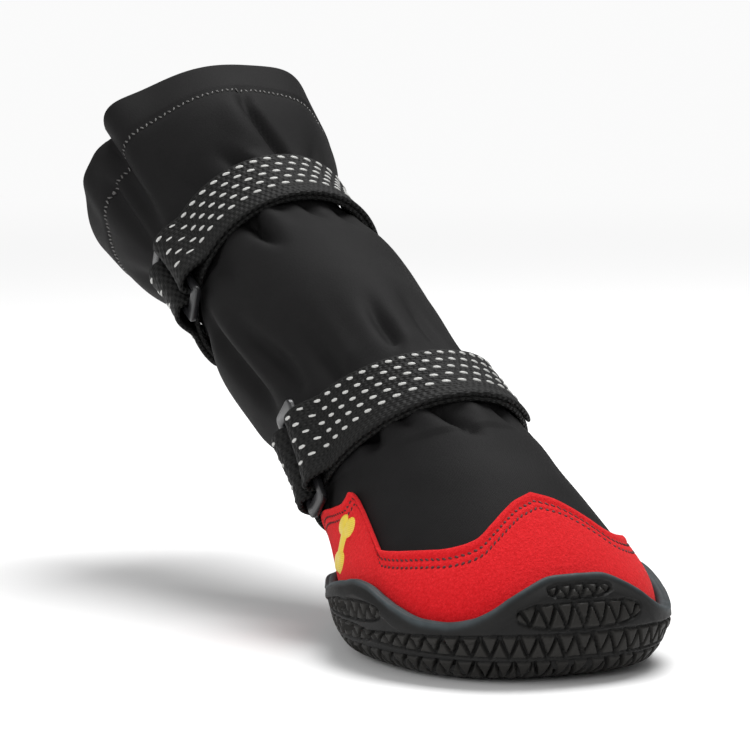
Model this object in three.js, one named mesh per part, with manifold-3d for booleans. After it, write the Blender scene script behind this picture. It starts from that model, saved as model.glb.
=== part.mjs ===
// A tall dog boot: a moulded rubber cup sole, a red felt rand, a black softshell foot and shaft in
// one piece, and two webbing straps that close the ankle and the top of the shaft.
// Millimetres. +X points to the toe, +Y to the boot's left, +Z up, and the sole stands on Z = 0.
import * as THREE from "three";
import { ConvexGeometry } from "three/addons/geometries/ConvexGeometry.js";
import { mergeVertices } from "three/addons/utils/BufferGeometryUtils.js";
import Module from "manifold-3d";

const wasm = await Module();
wasm.setup();

// Driving sizes
const soleLength = 99; // toe to heel of the rubber
const ballWidth = 75; // widest part of the rubber
const instepHeight = 65; // floor to the top of the foot at the ankle strap
const shaftLength = 136; // ankle to collar, along the shaft
const shaftRadius = 25;
const shaftLean = 25.6; // degrees above the floor, leaning back from the heel
const clearance = 0.3; // between pieces that lie on each other

const upperWall = 1.5;
const hemWidth = 13.5;
const hemExtra = 0.9; // how much thicker the turned hem is, inwards
const pleatDepth = 3.2; // of the fold that runs down the shaft's right side
const shaftPuff = 1.6; // how far the fabric stands out between the straps
const collarCorner = 2.8; // how far the worn collar's two upper corners stand out
const cinchDepth = 2.8; // how much further the collar strap pulls in the left side
const randWall = 1.2;
const rubberWall = 3;
const rimWall = 2.2;
const floorThickness = 4.5;
const insoleThickness = 2;

const treadSide = 15.2; // side of one main triangular lug
const grooveWidth = 1.1;
const grooveDepth = 1.5;
const treadLip = 11; // how far the flat tread stays inside the sole's outline
const toeSpring = 4; // how much further back the flat tread ends at the toe
const sideNotchDepth = 1.4;
const sideNotchWidth = 3.6;

const insertLength = 10.2;
const insertWidth = 22.6;
const insertThickness = 1.5;
const insertSunk = 0.7;
const insertCorner = 2.4;
const insertRim = 2.5; // plain rubber round the insert
const insertSetback = 0.83; // its centre, as a share of the sole's length from the toe

const strapWidth = 20;
const webbing = 1.3; // thickness of one layer of webbing
const elasticThickness = 1.6;
const ringBarWidth = 2.2;
const ringBarThickness = 1.6;
const ringEndBar = 3.4; // width of a ring's two short bars
const ringSpan = 8; // between the centres of a ring's two long bars
const ringCorner = 1.6;
const ringSlack = 0.8; // how much longer a ring's window is than the strap is wide
const foldFlat = 2; // how far the folded webbing stays full height beside a ring's bar
const foldSlope = 6; // how far it then takes to lie flat

const aroundCount = 44; // facets round the boot

const stack = rubberWall + randWall + 2 * clearance;
const lastHalfLength = soleLength / 2 - stack;
const lastHalfWidth = ballWidth / 2 - stack;
const footFloor = floorThickness + clearance;

// Sections of the foot, from the sole up to the ankle strap. front and back are shares of the last's half
// length, rise and lift are the heights of a section's front and back as shares of the instep height over
// the sole's floor, width is a share of the last's half width, and taper narrows the section to the heel.
const footSections = [
  { front: 0.92, rise: 0.0, back: 0.91, lift: 0.0, width: 0.88, taper: 0.3, widest: 0.45 },
  { front: 0.98, rise: 0.06, back: 0.98, lift: 0.05, width: 0.955, taper: 0.3, widest: 0.45 },
  { front: 1.0, rise: 0.15, back: 1.02, lift: 0.11, width: 0.99, taper: 0.3, widest: 0.45 },
  { front: 0.95, rise: 0.25, back: 1.05, lift: 0.16, width: 0.98, taper: 0.27, widest: 0.46 },
  { front: 0.84, rise: 0.35, back: 1.09, lift: 0.2, width: 0.93, taper: 0.21, widest: 0.46 },
  { front: 0.69, rise: 0.45, back: 1.13, lift: 0.23, width: 0.87, taper: 0.15, widest: 0.47 },
  { front: 0.51, rise: 0.55, back: 1.18, lift: 0.255, width: 0.82, taper: 0.1, widest: 0.48 },
  { front: 0.31, rise: 0.65, back: 1.24, lift: 0.28, width: 0.775, taper: 0.06, widest: 0.49 },
  { front: 0.08, rise: 0.75, back: 1.3, lift: 0.305, width: 0.735, taper: 0.03, widest: 0.5 },
  { front: -0.16, rise: 0.84, back: 1.36, lift: 0.325, width: 0.705, taper: 0, widest: 0.5 },
  { front: -0.42, rise: 0.93, back: 1.43, lift: 0.345, width: 0.695, taper: 0, widest: 0.5 },
];

// Sections of the shaft. along is a share of its length, tilt is the section's slope in degrees, and depth
// and width are shares of its radius.
const shaftSections = [
  { along: 0.14, tilt: 53, depth: 1.05, width: 0.94 },
  { along: 0.28, tilt: 60, depth: 1.05, width: 1.0 },
  { along: 0.42, tilt: 63, depth: 1.04, width: 1.02 },
  { along: 0.53, tilt: 64, depth: 1.0, width: 0.96 },
  { along: 0.62, tilt: 64, depth: 0.98, width: 0.92 },
  { along: 0.71, tilt: 63.5, depth: 1.0, width: 0.96 },
  { along: 0.86, tilt: 62, depth: 1.19, width: 1.18 },
  { along: 1.0, tilt: 61, depth: 1.24, width: 1.27 },
];
const ankleStrapAt = footSections.length - 1;
const collarStrapAt = footSections.length + 4;

// Heights of the sole's waved rim and of the rand's top edge, as shares of the instep height. round is
// how far round the boot they are on either side, from the toe to the heel.
const edgeHeights = [
  { round: 0, rim: 0.342, rand: 0.598 },
  { round: 0.05, rim: 0.337, rand: 0.575 },
  { round: 0.09, rim: 0.312, rand: 0.542 },
  { round: 0.13, rim: 0.281, rand: 0.503 },
  { round: 0.165, rim: 0.25, rand: 0.467 },
  { round: 0.2, rim: 0.228, rand: 0.446 },
  { round: 0.25, rim: 0.214, rand: 0.428 },
  { round: 0.29, rim: 0.214, rand: 0.42 },
  { round: 0.33, rim: 0.22, rand: 0.412 },
  { round: 0.38, rim: 0.245, rand: 0.402 },
  { round: 0.41, rim: 0.266, rand: 0.398 },
  { round: 0.428, rim: 0.28, rand: 0.402 },
  { round: 0.438, rim: 0.285, rand: 0.455 },
  { round: 0.446, rim: 0.288, rand: 0.53 },
  { round: 0.456, rim: 0.29, rand: 0.556 },
  { round: 0.481, rim: 0.29, rand: 0.532 },
  { round: 0.508, rim: 0.274, rand: 0.504 },
  { round: 0.55, rim: 0.251, rand: 0.482 },
  { round: 0.615, rim: 0.236, rand: 0.458 },
  { round: 0.68, rim: 0.23, rand: 0.42 },
  { round: 0.75, rim: 0.228, rand: 0.365 },
  { round: 0.82, rim: 0.226, rand: 0.32 },
  { round: 0.9, rim: 0.225, rand: 0.28 },
  { round: 1, rim: 0.225, rand: 0.277 },
];

const radians = THREE.MathUtils.degToRad;
const smooth = (x) => THREE.MathUtils.smoothstep(x, 0, 1);
const point = (x, y, z) => new THREE.Vector3(x, y, z);

// Every section as the two ends of its middle chord and its widths.
function stations() {
  const rise = instepHeight - footFloor;
  const rows = footSections.map((s) => ({
    frontX: s.front * lastHalfLength,
    frontZ: footFloor + s.rise * rise,
    backX: -s.back * lastHalfLength,
    backZ: footFloor + s.lift * rise,
    width: s.width * lastHalfWidth,
    taper: s.taper,
    widest: s.widest,
    blunt: s.taper / footSections[0].taper,
  }));
  const ankle = rows[rows.length - 1];
  const ankleX = (ankle.frontX + ankle.backX) / 2;
  const ankleZ = (ankle.frontZ + ankle.backZ) / 2;
  const lean = radians(shaftLean);
  for (const s of shaftSections) {
    const x = ankleX - Math.cos(lean) * s.along * shaftLength;
    const z = ankleZ + Math.sin(lean) * s.along * shaftLength;
    const tilt = radians(s.tilt);
    const half = s.depth * shaftRadius;
    rows.push({
      frontX: x + half * Math.cos(tilt),
      frontZ: z + half * Math.sin(tilt),
      backX: x - half * Math.cos(tilt),
      backZ: z - half * Math.sin(tilt),
      width: s.width * shaftRadius,
      taper: 0,
      widest: 0.5,
      blunt: 0,
    });
  }
  return rows;
}
const sections = stations();
const collar = sections.length - 1;

// A value of a table's column between its rows, on a smooth curve through them.
function between(rows, column, at) {
  const i = Math.min(Math.max(Math.floor(at), 0), rows.length - 2);
  const t = at - i;
  const p1 = rows[i][column];
  const p2 = rows[i + 1][column];
  const p0 = i > 0 ? rows[i - 1][column] : 2 * p1 - p2;
  const p3 = i + 2 < rows.length ? rows[i + 2][column] : 2 * p2 - p1;
  const m1 = (p2 - p0) / 2;
  const m2 = (p3 - p1) / 2;
  return (
    (2 * t ** 3 - 3 * t ** 2 + 1) * p1 +
    (t ** 3 - 2 * t ** 2 + t) * m1 +
    (3 * t ** 2 - 2 * t ** 3) * p2 +
    (t ** 3 - t ** 2) * m2
  );
}

// The height of an edge at an angle round the boot, where 0 is the toe and pi the heel.
function edgeAt(column, theta) {
  const turned = Math.atan2(Math.sin(theta), Math.cos(theta));
  const round = Math.abs(turned) / Math.PI;
  let i = 0;
  while (i < edgeHeights.length - 2 && round > edgeHeights[i + 1].round) i += 1;
  const t = (round - edgeHeights[i].round) / (edgeHeights[i + 1].round - edgeHeights[i].round);
  return between(edgeHeights, column, i + t) * instepHeight;
}

// How far the side fold and the fabric between the cinched straps move the shaft's wall outwards.
const pleatAngle = radians(-98); // of the side fold below the collar strap
const pleatTurn = radians(28); // how far towards the toe it has turned at the collar
const collarCornerAngles = [radians(32), radians(-58)];
const cinchAngle = radians(80);
function relief(theta, at) {
  if (at < ankleStrapAt - 1.5) return 0;
  const turnFrom = (angle) => Math.atan2(Math.sin(theta - angle), Math.cos(theta - angle));
  const hump = (x, width) => Math.exp(-((x / width) ** 2));
  const fade = smooth((at - ankleStrapAt) / 1.2);
  const turn = turnFrom(pleatAngle + pleatTurn * smooth((at - collarStrapAt) / (collar - collarStrapAt)));
  const offStrap = Math.min(Math.abs(at - ankleStrapAt), Math.abs(at - collarStrapAt));
  const free = smooth((offStrap - 0.85) / 1.1);
  const fold = -pleatDepth * hump(turn, 0.11);
  const lap = 0.45 * pleatDepth * hump(turn - 0.24, 0.16);
  const puff = shaftPuff * free * (0.6 + 0.4 * Math.cos(3 * theta + 0.8));
  const flare = smooth((at - collarStrapAt - 1.2) / 1.8);
  const corners = collarCornerAngles.reduce((sum, angle) => sum + hump(turnFrom(angle), 0.28), 0);
  const cinch = cinchDepth * hump(turnFrom(cinchAngle), 0.8) * hump(at - collarStrapAt, 1.1);
  const gathers = fade * free * (fold + lap) + (at > ankleStrapAt ? puff : 0.5 * puff);
  return gathers + collarCorner * flare * corners - cinch;
}

// A point of the section itself, before the relief.
function onSection(theta, at) {
  const s = {};
  for (const column of Object.keys(sections[0])) s[column] = between(sections, column, at);
  const c = Math.cos(theta);
  const n = Math.sin(theta);
  const midX = s.frontX + s.widest * (s.backX - s.frontX);
  const midZ = s.frontZ + s.widest * (s.backZ - s.frontZ);
  const power = 2 / (2.05 + (c >= 0 ? 0.3 : 0.95) * s.blunt);
  const reach = Math.abs(c) ** power;
  const endX = c >= 0 ? s.frontX : s.backX;
  const endZ = c >= 0 ? s.frontZ : s.backZ;
  const heel = c < 0 ? s.taper * smooth(reach / 0.85) : 0;
  return point(
    midX + (endX - midX) * reach,
    Math.sign(n) * s.width * Math.abs(n) ** power * (1 - heel),
    midZ + (endZ - midZ) * reach,
  );
}

// The frame of the last's surface: its point, and unit vectors round it, out of it and up it.
function surface(theta, at) {
  const step = 0.02;
  const high = Math.min(at + step, collar);
  const low = Math.max(at - step, 0);
  const around = onSection(theta + step, at).sub(onSection(theta - step, at)).normalize();
  const up = onSection(theta, high).sub(onSection(theta, low)).normalize();
  const out = around.clone().cross(up).normalize();
  const p = onSection(theta, at).addScaledVector(out, relief(theta, at));
  return { p, around, out, up: out.clone().cross(around) };
}

const offsetPoint = (theta, at, offset) => {
  const s = surface(theta, at);
  return s.p.addScaledVector(s.out, offset);
};

// Where along the sections the last's surface reaches a height.
function atHeight(theta, height) {
  let low = 0;
  let high = collar;
  for (let i = 0; i < 40; i += 1) {
    const mid = (low + high) / 2;
    if (onSection(theta, mid).z < height) low = mid;
    else high = mid;
  }
  return low;
}

// Solids
const angles = Array.from({ length: aroundCount }, (_, i) => (2 * Math.PI * i) / aroundCount);

function solidFrom(positions, index) {
  const geometry = new THREE.BufferGeometry();
  geometry.setAttribute("position", new THREE.Float32BufferAttribute(positions, 3));
  geometry.setIndex([...index]);
  const merged = mergeVertices(geometry, 1e-4);
  return new wasm.Manifold(
    new wasm.Mesh({
      numProp: 3,
      vertProperties: merged.attributes.position.array,
      triVerts: new Uint32Array(merged.index.array),
    }),
  );
}

function solidOfGeometry(geometry) {
  const bare = geometry.clone();
  bare.deleteAttribute("normal");
  bare.deleteAttribute("uv");
  const merged = mergeVertices(bare, 1e-4);
  return solidFrom(merged.attributes.position.array, merged.index.array);
}

// A solid skinned over rings of points. Open ends are closed by a fan, or the rings close on themselves.
function loft(rings, closed) {
  const count = rings[0].length;
  const points = rings.flat();
  const index = [];
  const spans = closed ? rings.length : rings.length - 1;
  for (let r = 0; r < spans; r += 1) {
    const next = (r + 1) % rings.length;
    for (let i = 0; i < count; i += 1) {
      const j = (i + 1) % count;
      const a = r * count + i;
      const b = r * count + j;
      const c = next * count + j;
      const d = next * count + i;
      index.push(a, b, c, a, c, d);
    }
  }
  if (!closed) {
    const ends = [0, rings.length - 1];
    ends.forEach((r, k) => {
      const centre = rings[r].reduce((sum, p) => sum.add(p), point(0, 0, 0)).divideScalar(count);
      points.push(centre);
      const c = points.length - 1;
      for (let i = 0; i < count; i += 1) {
        const a = r * count + i;
        const b = r * count + ((i + 1) % count);
        if (k === 0) index.push(b, a, c);
        else index.push(a, b, c);
      }
    });
  }
  return solidFrom(points.flatMap((p) => [p.x, p.y, p.z]), index);
}

// The upper: one wall from the sole's floor to the collar, open underneath and at the collar.
const footStops = [0, 0.8, 1.6, 2.6, 3.7, 5, 6.3, 7.6, 8.8, 9.5];
const shaftStops = [10, 10.5, 11.2, 12, 13, 14, 14.6, 15.4, 16.1, 17, 18];
const upperStops = [...footStops, ...shaftStops];

function makeUpper() {
  const collarSpan = (shaftSections.at(-1).along - shaftSections.at(-2).along) * shaftLength;
  const hemAt = collar - hemWidth / collarSpan;
  const hemStep = hemExtra / collarSpan;
  const stops = [...new Set([...upperStops.filter((at) => Math.abs(at - hemAt) > 0.2), hemAt, collar])];
  stops.sort((a, b) => a - b);
  const outer = stops.map((at) => angles.map((a) => offsetPoint(a, at, 0)));
  const wall = (at) => upperWall + hemExtra * smooth((at - hemAt) / hemStep);
  const inner = stops.map((at) => angles.map((a) => offsetPoint(a, at, -wall(at))));
  for (const p of inner[0]) p.z = footFloor;
  for (const p of outer[0]) p.z = footFloor;
  return loft([...outer, ...inner.reverse()], true);
}

// Everything inside the last's surface grown by an offset, for cutting what lies on it. It runs straight
// down past the foot's floor.
function envelope(offset, stops) {
  const rings = stops.map((at) => angles.map((a) => offsetPoint(a, at, offset)));
  rings[0].forEach((p) => p.setZ(footFloor));
  return loft([rings[0].map((p) => point(p.x, p.y, 0)), ...rings], false);
}

// The rand: a felt band over the upper, from inside the cup up to its waved edge.
const trim = 0.2; // how far a fitted wall is made too thick before what it lies on is cut out of it
function makeRand() {
  const shares = [0, 0.12, 0.26, 0.42, 0.6, 0.8, 1];
  const layer = (offset) =>
    shares.map((share) =>
      angles.map((a) => {
        const p = offsetPoint(a, share * atHeight(a, edgeAt("rand", a)), offset);
        if (share === 0) p.z = footFloor;
        return p;
      }),
    );
  const band = loft([...layer(clearance + randWall), ...layer(clearance - trim).reverse()], true);
  return band.subtract(envelope(clearance, upperStops));
}

// The outsole: a cup with a rounded foot, a floor and a waved rim.
const cupGap = clearance + randWall + 1.5 * clearance;
function makeCup() {
  const ring = (share, offset) =>
    angles.map((a) => {
      const top = atHeight(a, edgeAt("rim", a));
      return offsetPoint(a, share * top, offset);
    });
  const wall = (share) => cupGap + rubberWall + (rimWall - rubberWall) * smooth((share - 0.8) / 0.2);
  const flat = angles.map((a) => {
    const p = onSection(a, 2);
    const spring = toeSpring * Math.max(Math.cos(a), 0) ** 2;
    const inset = (half, lip) => (half + stack - lip) / half;
    return point(p.x * inset(lastHalfLength, treadLip + spring), p.y * inset(lastHalfWidth, treadLip), 0);
  });
  const outer = [0, 0.16, 0.34, 0.54, 0.76, 0.92, 1].map((share) => ring(share, wall(share)));
  const inner = [1, 0.84, 0.68, 0.52, 0.36, 0.22, 0.1, 0].map((share) => ring(share, cupGap));
  for (const p of inner[inner.length - 1]) p.z = floorThickness;
  return loft([flat, ...outer, ...inner], false);
}

// One main lug of the tread: a triangle that points to the heel or to the toe.
function lug(x, y, turn) {
  const radius = treadSide / Math.sqrt(3) - grooveWidth;
  const prism = new THREE.CylinderGeometry(radius, radius, 4 * grooveDepth, 3, 1, false, turn);
  prism.rotateX(Math.PI / 2);
  prism.translate(x, y, 0);
  return solidOfGeometry(prism);
}

// The grooves are what the lugs leave of a thin slab. One lug lies right under the origin.
function treadGrooves() {
  const step = treadSide * Math.cos(Math.PI / 6);
  const columns = Math.ceil(soleLength / 2 / step);
  const rows = Math.ceil(ballWidth / 2 / treadSide);
  const lugs = [];
  for (let i = -columns; i <= columns; i += 1) {
    for (let j = -rows; j <= rows; j += 1) {
      const y = (j + (i % 2 === 0 ? 0 : 0.5)) * treadSide;
      lugs.push(lug(i * step, y, -Math.PI / 2));
      lugs.push(lug(i * step - step / 3, y + treadSide / 2, Math.PI / 2));
    }
  }
  const slab = new THREE.BoxGeometry(2 * soleLength, 2 * ballWidth, 2 * grooveDepth);
  return solidOfGeometry(slab).subtract(wasm.Manifold.union(lugs));
}

// A wedge that cuts one V between two lugs of the sole's side.
function sideNotch(theta, low, high, width, tall) {
  const foot = surface(theta, low);
  const head = surface(theta, high);
  const wide = tall ? foot : head;
  const thin = tall ? head : foot;
  const skin = cupGap + rubberWall;
  const corners = [];
  for (const depth of [skin - sideNotchDepth, skin + rubberWall]) {
    for (const [frame, side] of [[wide, width / 2], [wide, -width / 2], [thin, 0]]) {
      corners.push(frame.p.clone().addScaledVector(frame.out, depth).addScaledVector(frame.around, side));
    }
  }
  return solidOfGeometry(new ConvexGeometry(corners));
}

// Rows of lugs up the side. low and high are sections, from and to are how far round the row runs on each
// side, spacing is the turn from one notch to the next, and width is a share of the notches' width.
const lugRows = [
  { low: 0.1, high: 0.75, from: 0.0227, to: 1, spacing: 0.04545, width: 1, tall: true },
  { low: 1.02, high: 1.66, from: 0.0227, to: 0.5, spacing: 0.04545, width: 0.9, tall: true },
  { low: 1.9, high: 2.5, from: 0.017, to: 0.1, spacing: 0.034, width: 0.8, tall: false },
  { low: 2.64, high: 3.02, from: 0.013, to: 0.05, spacing: 0.026, width: 0.6, tall: false },
  { low: 1.9, high: 2.5, from: 0.442, to: 0.54, spacing: 0.034, width: 0.75, tall: false },
];

function sideNotches() {
  const cuts = [];
  for (const row of lugRows) {
    for (let round = row.from; round < row.to; round += row.spacing) {
      for (const side of [1, -1]) {
        const width = row.width * sideNotchWidth;
        cuts.push(sideNotch(side * Math.PI * round, row.low, row.high, width, row.tall));
      }
    }
  }
  return wasm.Manifold.union(cuts);
}

function roundedPlate(length, width, bottom, top) {
  const corner = insertCorner;
  const a = length / 2;
  const b = width / 2;
  const shape = new THREE.Shape();
  shape.moveTo(-a + corner, -b);
  shape.lineTo(a - corner, -b);
  shape.absarc(a - corner, -b + corner, corner, -Math.PI / 2, 0);
  shape.absarc(a - corner, b - corner, corner, 0, Math.PI / 2);
  shape.absarc(-a + corner, b - corner, corner, Math.PI / 2, Math.PI);
  shape.absarc(-a + corner, -b + corner, corner, Math.PI, 1.5 * Math.PI);
  const plate = new THREE.ExtrudeGeometry(shape, { depth: top - bottom, bevelEnabled: false, curveSegments: 4 });
  plate.translate(soleLength * (0.5 - insertSetback), 0, bottom);
  return solidOfGeometry(plate);
}

function makeOutsole() {
  const pocket = roundedPlate(
    insertLength + 2 * clearance,
    insertWidth + 2 * clearance,
    -1,
    insertSunk + insertThickness + clearance,
  );
  const land = roundedPlate(insertLength + 2 * insertRim, insertWidth + 2 * insertRim, -1, 2 * grooveDepth);
  return makeCup().subtract(treadGrooves().subtract(land)).subtract(sideNotches()).subtract(pocket);
}

// The insole lies on the cup's floor, inside the upper's wall.
function makeInsole() {
  const slab = new THREE.BoxGeometry(2 * soleLength, 2 * ballWidth, insoleThickness);
  slab.translate(0, 0, footFloor + insoleThickness / 2);
  return solidOfGeometry(slab).intersect(envelope(-upperWall - clearance, upperStops.slice(0, 5)));
}

// Straps follow a section of the boot. Places along one are millimetres from the top of the section,
// with the boot's right side positive.
function strapPath(at) {
  const steps = 720;
  const marks = [{ length: 0, theta: 0 }];
  for (const sense of [-1, 1]) {
    let length = 0;
    let last = surface(0, at).p;
    for (let i = 1; i <= steps / 2; i += 1) {
      const theta = (sense * 2 * Math.PI * i) / steps;
      const p = surface(theta, at).p;
      length += p.distanceTo(last);
      last = p;
      marks.push({ length: -sense * length, theta });
    }
  }
  marks.sort((a, b) => a.length - b.length);
  const whole = marks[marks.length - 1].length - marks[0].length;
  const angle = (length) => {
    const turns = Math.floor((length - marks[0].length) / whole);
    const l = length - turns * whole;
    let low = 0;
    let high = marks.length - 1;
    while (high - low > 1) {
      const mid = (low + high) >> 1;
      if (marks[mid].length <= l) low = mid;
      else high = mid;
    }
    const t = (l - marks[low].length) / (marks[high].length - marks[low].length);
    return marks[low].theta + t * (marks[high].theta - marks[low].theta) - 2 * Math.PI * turns;
  };
  return { at, whole, angle };
}

// How much the upper rises over the flat seat of a strap, at a distance straight across it.
function seatRise(frame, theta, at, across) {
  const step = 0.05;
  const from = (turn, height) => surface(turn, height).p.sub(frame.p);
  let turn = theta;
  let height = at;
  for (let i = 0; i < 5; i += 1) {
    const here = from(turn, height);
    const climb = from(turn, height + step).sub(here).dot(frame.up) / step;
    const sweep = from(turn + step, height).sub(here).dot(frame.around) / step;
    height += (across - here.dot(frame.up)) / climb;
    turn -= here.dot(frame.around) / sweep;
  }
  return Math.max(from(turn, height).dot(frame.out), 0);
}

// A place on a strap, which cups across its width to follow the upper.
function place(path, length, offset, across) {
  const theta = path.angle(length);
  const f = surface(theta, path.at);
  const lifted = offset + seatRise(f, theta, path.at, across);
  return f.p.addScaledVector(f.out, lifted).addScaledVector(f.up, across);
}

// A length of webbing whose underside and top are given, in millimetres over the upper, at places along it.
const ribbonStep = 5;
function ribbon(path, profile, halfWidth) {
  const stops = [profile[0]];
  for (let i = 1; i < profile.length; i += 1) {
    const [a, b] = [profile[i - 1], profile[i]];
    const pieces = Math.max(1, Math.ceil((b.along - a.along) / ribbonStep));
    for (let k = 1; k <= pieces; k += 1) {
      const mix = (column) => a[column] + ((b[column] - a[column]) * k) / pieces;
      stops.push({ along: mix("along"), low: mix("low"), high: mix("high") });
    }
  }
  const across = [-halfWidth, 0, halfWidth];
  const rings = stops.map(({ along, low, high }) => [
    ...across.map((side) => place(path, along, high, side)),
    ...across.map((side) => place(path, along, low, -side)),
  ]);
  return loft(rings, false);
}

const layerLow = 2 * clearance;
const layerHigh = layerLow + webbing;
const doubled = layerHigh + webbing;
const windowLow = layerHigh + clearance;
const barRoom = ringBarWidth / 2 + clearance;
const noseReach = barRoom + webbing;
const cornerCut = 0.9; // how round the fold of the webbing is

// Where a ring sits: flat on the edges of the webbing, which cup up on both sides of it, with its
// two bars a little nearer to each other along the webbing than across the ring.
function ringSeat(path, ringPlace) {
  const radius = path.whole / (2 * Math.PI);
  const rises = [-1, 0, 1].flatMap((side) => {
    const theta = path.angle(ringPlace + (side * ringSpan) / 2);
    const frame = surface(theta, path.at);
    return [-1, 1].map((edge) => seatRise(frame, theta, path.at, (edge * strapWidth) / 2));
  });
  const low = windowLow + Math.max(...rises) + clearance;
  const reach = radius * Math.atan(ringSpan / 2 / (radius + low + ringBarThickness / 2));
  const windowHigh = low + ringBarThickness + 3 * clearance;
  return {
    frame: surface(path.angle(ringPlace), path.at),
    low,
    windowHigh,
    loopTop: windowHigh + webbing,
    nearBar: ringPlace - reach,
    farBar: ringPlace + reach,
  };
}

// The room round a ring's bar inside the fold of the webbing.
const barWindow = (path, bar, high) =>
  ribbon(
    path,
    [
      { along: bar - barRoom, low: windowLow, high },
      { along: bar + barRoom, low: windowLow, high },
    ],
    strapWidth / 2 + 1,
  );

// One strap: its first layer runs over the boot to the far side, and its tail folds back over it
// from the ring's bar and ends a little past the top.
function makeStrap(path, seat, startPlace, tailPlace) {
  const bar = seat.nearBar;
  const profile = [
    { along: startPlace, low: layerLow, high: layerHigh },
    { along: tailPlace, low: layerLow, high: layerHigh },
    { along: tailPlace + clearance, low: layerLow, high: doubled },
    { along: bar - foldFlat - foldSlope, low: layerLow, high: doubled },
    { along: bar - foldFlat, low: layerLow, high: seat.loopTop },
    { along: bar + noseReach - cornerCut, low: layerLow, high: seat.loopTop },
    { along: bar + noseReach, low: layerLow + cornerCut, high: seat.loopTop - cornerCut },
  ];
  return ribbon(path, profile, strapWidth / 2).subtract(barWindow(path, bar, seat.windowHigh));
}

// The tab that holds the ring's other bar and ends in the elastic.
function makeRingTab(path, seat, endPlace) {
  const bar = seat.farBar;
  const profile = [
    { along: bar - noseReach, low: layerLow + cornerCut, high: seat.loopTop - cornerCut },
    { along: bar - noseReach + cornerCut, low: layerLow, high: seat.loopTop },
    { along: bar + foldFlat, low: layerLow, high: seat.loopTop },
    { along: bar + foldFlat + foldSlope, low: layerLow, high: doubled },
    { along: endPlace, low: layerLow, high: doubled },
  ];
  return ribbon(path, profile, strapWidth / 2).subtract(barWindow(path, bar, seat.windowHigh));
}

function makeElastic(path, fromPlace, toPlace) {
  const profile = [
    { along: fromPlace, low: layerLow, high: layerLow + elasticThickness },
    { along: toPlace, low: layerLow, high: layerLow + elasticThickness },
  ];
  return ribbon(path, profile, strapWidth / 2 - 0.5);
}

// The ring: a flat rectangular loop whose long bars lie across the strap.
function makeRing(seat) {
  const halfSpan = ringSpan / 2;
  const halfWindow = strapWidth / 2 + ringSlack;
  const ring = new THREE.Shape();
  const a = halfSpan + ringBarWidth / 2;
  const b = halfWindow + ringEndBar;
  const corner = ringCorner;
  ring.moveTo(-a + corner, -b);
  ring.lineTo(a - corner, -b);
  ring.absarc(a - corner, -b + corner, corner, -Math.PI / 2, 0);
  ring.absarc(a - corner, b - corner, corner, 0, Math.PI / 2);
  ring.absarc(-a + corner, b - corner, corner, Math.PI / 2, Math.PI);
  ring.absarc(-a + corner, -b + corner, corner, Math.PI, 1.5 * Math.PI);
  const window = new THREE.Path();
  const c = halfSpan - ringBarWidth / 2;
  window.moveTo(-c, -halfWindow);
  window.lineTo(-c, halfWindow);
  window.lineTo(c, halfWindow);
  window.lineTo(c, -halfWindow);
  window.closePath();
  ring.holes.push(window);
  const geometry = new THREE.ExtrudeGeometry(ring, {
    depth: ringBarThickness,
    bevelEnabled: false,
    curveSegments: 3,
  });
  geometry.translate(0, 0, seat.low);
  const turn = new THREE.Matrix4().makeBasis(seat.frame.around, seat.frame.up, seat.frame.out);
  geometry.applyMatrix4(turn.setPosition(seat.frame.p));
  return solidOfGeometry(geometry);
}

// Looks
const materials = {
  rubber: new THREE.MeshStandardMaterial({ color: 0x2b2b2c, roughness: 0.62, metalness: 0 }),
  insert: new THREE.MeshStandardMaterial({ color: 0xb98f1e, roughness: 0.5, metalness: 0 }),
  softshell: new THREE.MeshStandardMaterial({ color: 0x1d1c1c, roughness: 0.85, metalness: 0 }),
  felt: new THREE.MeshStandardMaterial({ color: 0xc4131a, roughness: 0.95, metalness: 0 }),
  webbing: new THREE.MeshStandardMaterial({ color: 0x1a1a19, roughness: 0.8, metalness: 0 }),
  elastic: new THREE.MeshStandardMaterial({ color: 0x121212, roughness: 0.8, metalness: 0 }),
  plastic: new THREE.MeshStandardMaterial({ color: 0x202021, roughness: 0.35, metalness: 0 }),
  footbed: new THREE.MeshStandardMaterial({ color: 0x2a2a2a, roughness: 0.95, metalness: 0 }),
};

const boot = new THREE.Group();
function add(name, solid, material) {
  const mesh = solid.getMesh();
  const geometry = new THREE.BufferGeometry();
  geometry.setAttribute("position", new THREE.BufferAttribute(mesh.vertProperties, 3));
  geometry.setIndex(new THREE.BufferAttribute(mesh.triVerts, 1));
  geometry.computeVertexNormals();
  const part = new THREE.Mesh(geometry, material);
  part.name = name;
  boot.add(part);
}

add("outsole", makeOutsole(), materials.rubber);
add(
  "sole_insert",
  roundedPlate(insertLength, insertWidth, insertSunk, insertSunk + insertThickness),
  materials.insert,
);
add("insole", makeInsole(), materials.footbed);
add("upper", makeUpper(), materials.softshell);
// The two straps, with places as shares of half the way round.
const strapPlan = [
  { name: "lower", at: ankleStrapAt, ring: 0.53, start: -0.53, tail: -0.24, tabEnd: 0.82 },
  { name: "upper", at: collarStrapAt, ring: 0.53, start: -0.53, tail: -0.34, tabEnd: 0.82 },
];
const straps = strapPlan.map((plan) => {
  const path = strapPath(plan.at);
  const half = path.whole / 2;
  return {
    name: plan.name,
    path,
    seat: ringSeat(path, plan.ring * half),
    start: plan.start * half,
    tail: plan.tail * half,
    tabEnd: plan.tabEnd * half,
  };
});

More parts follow.
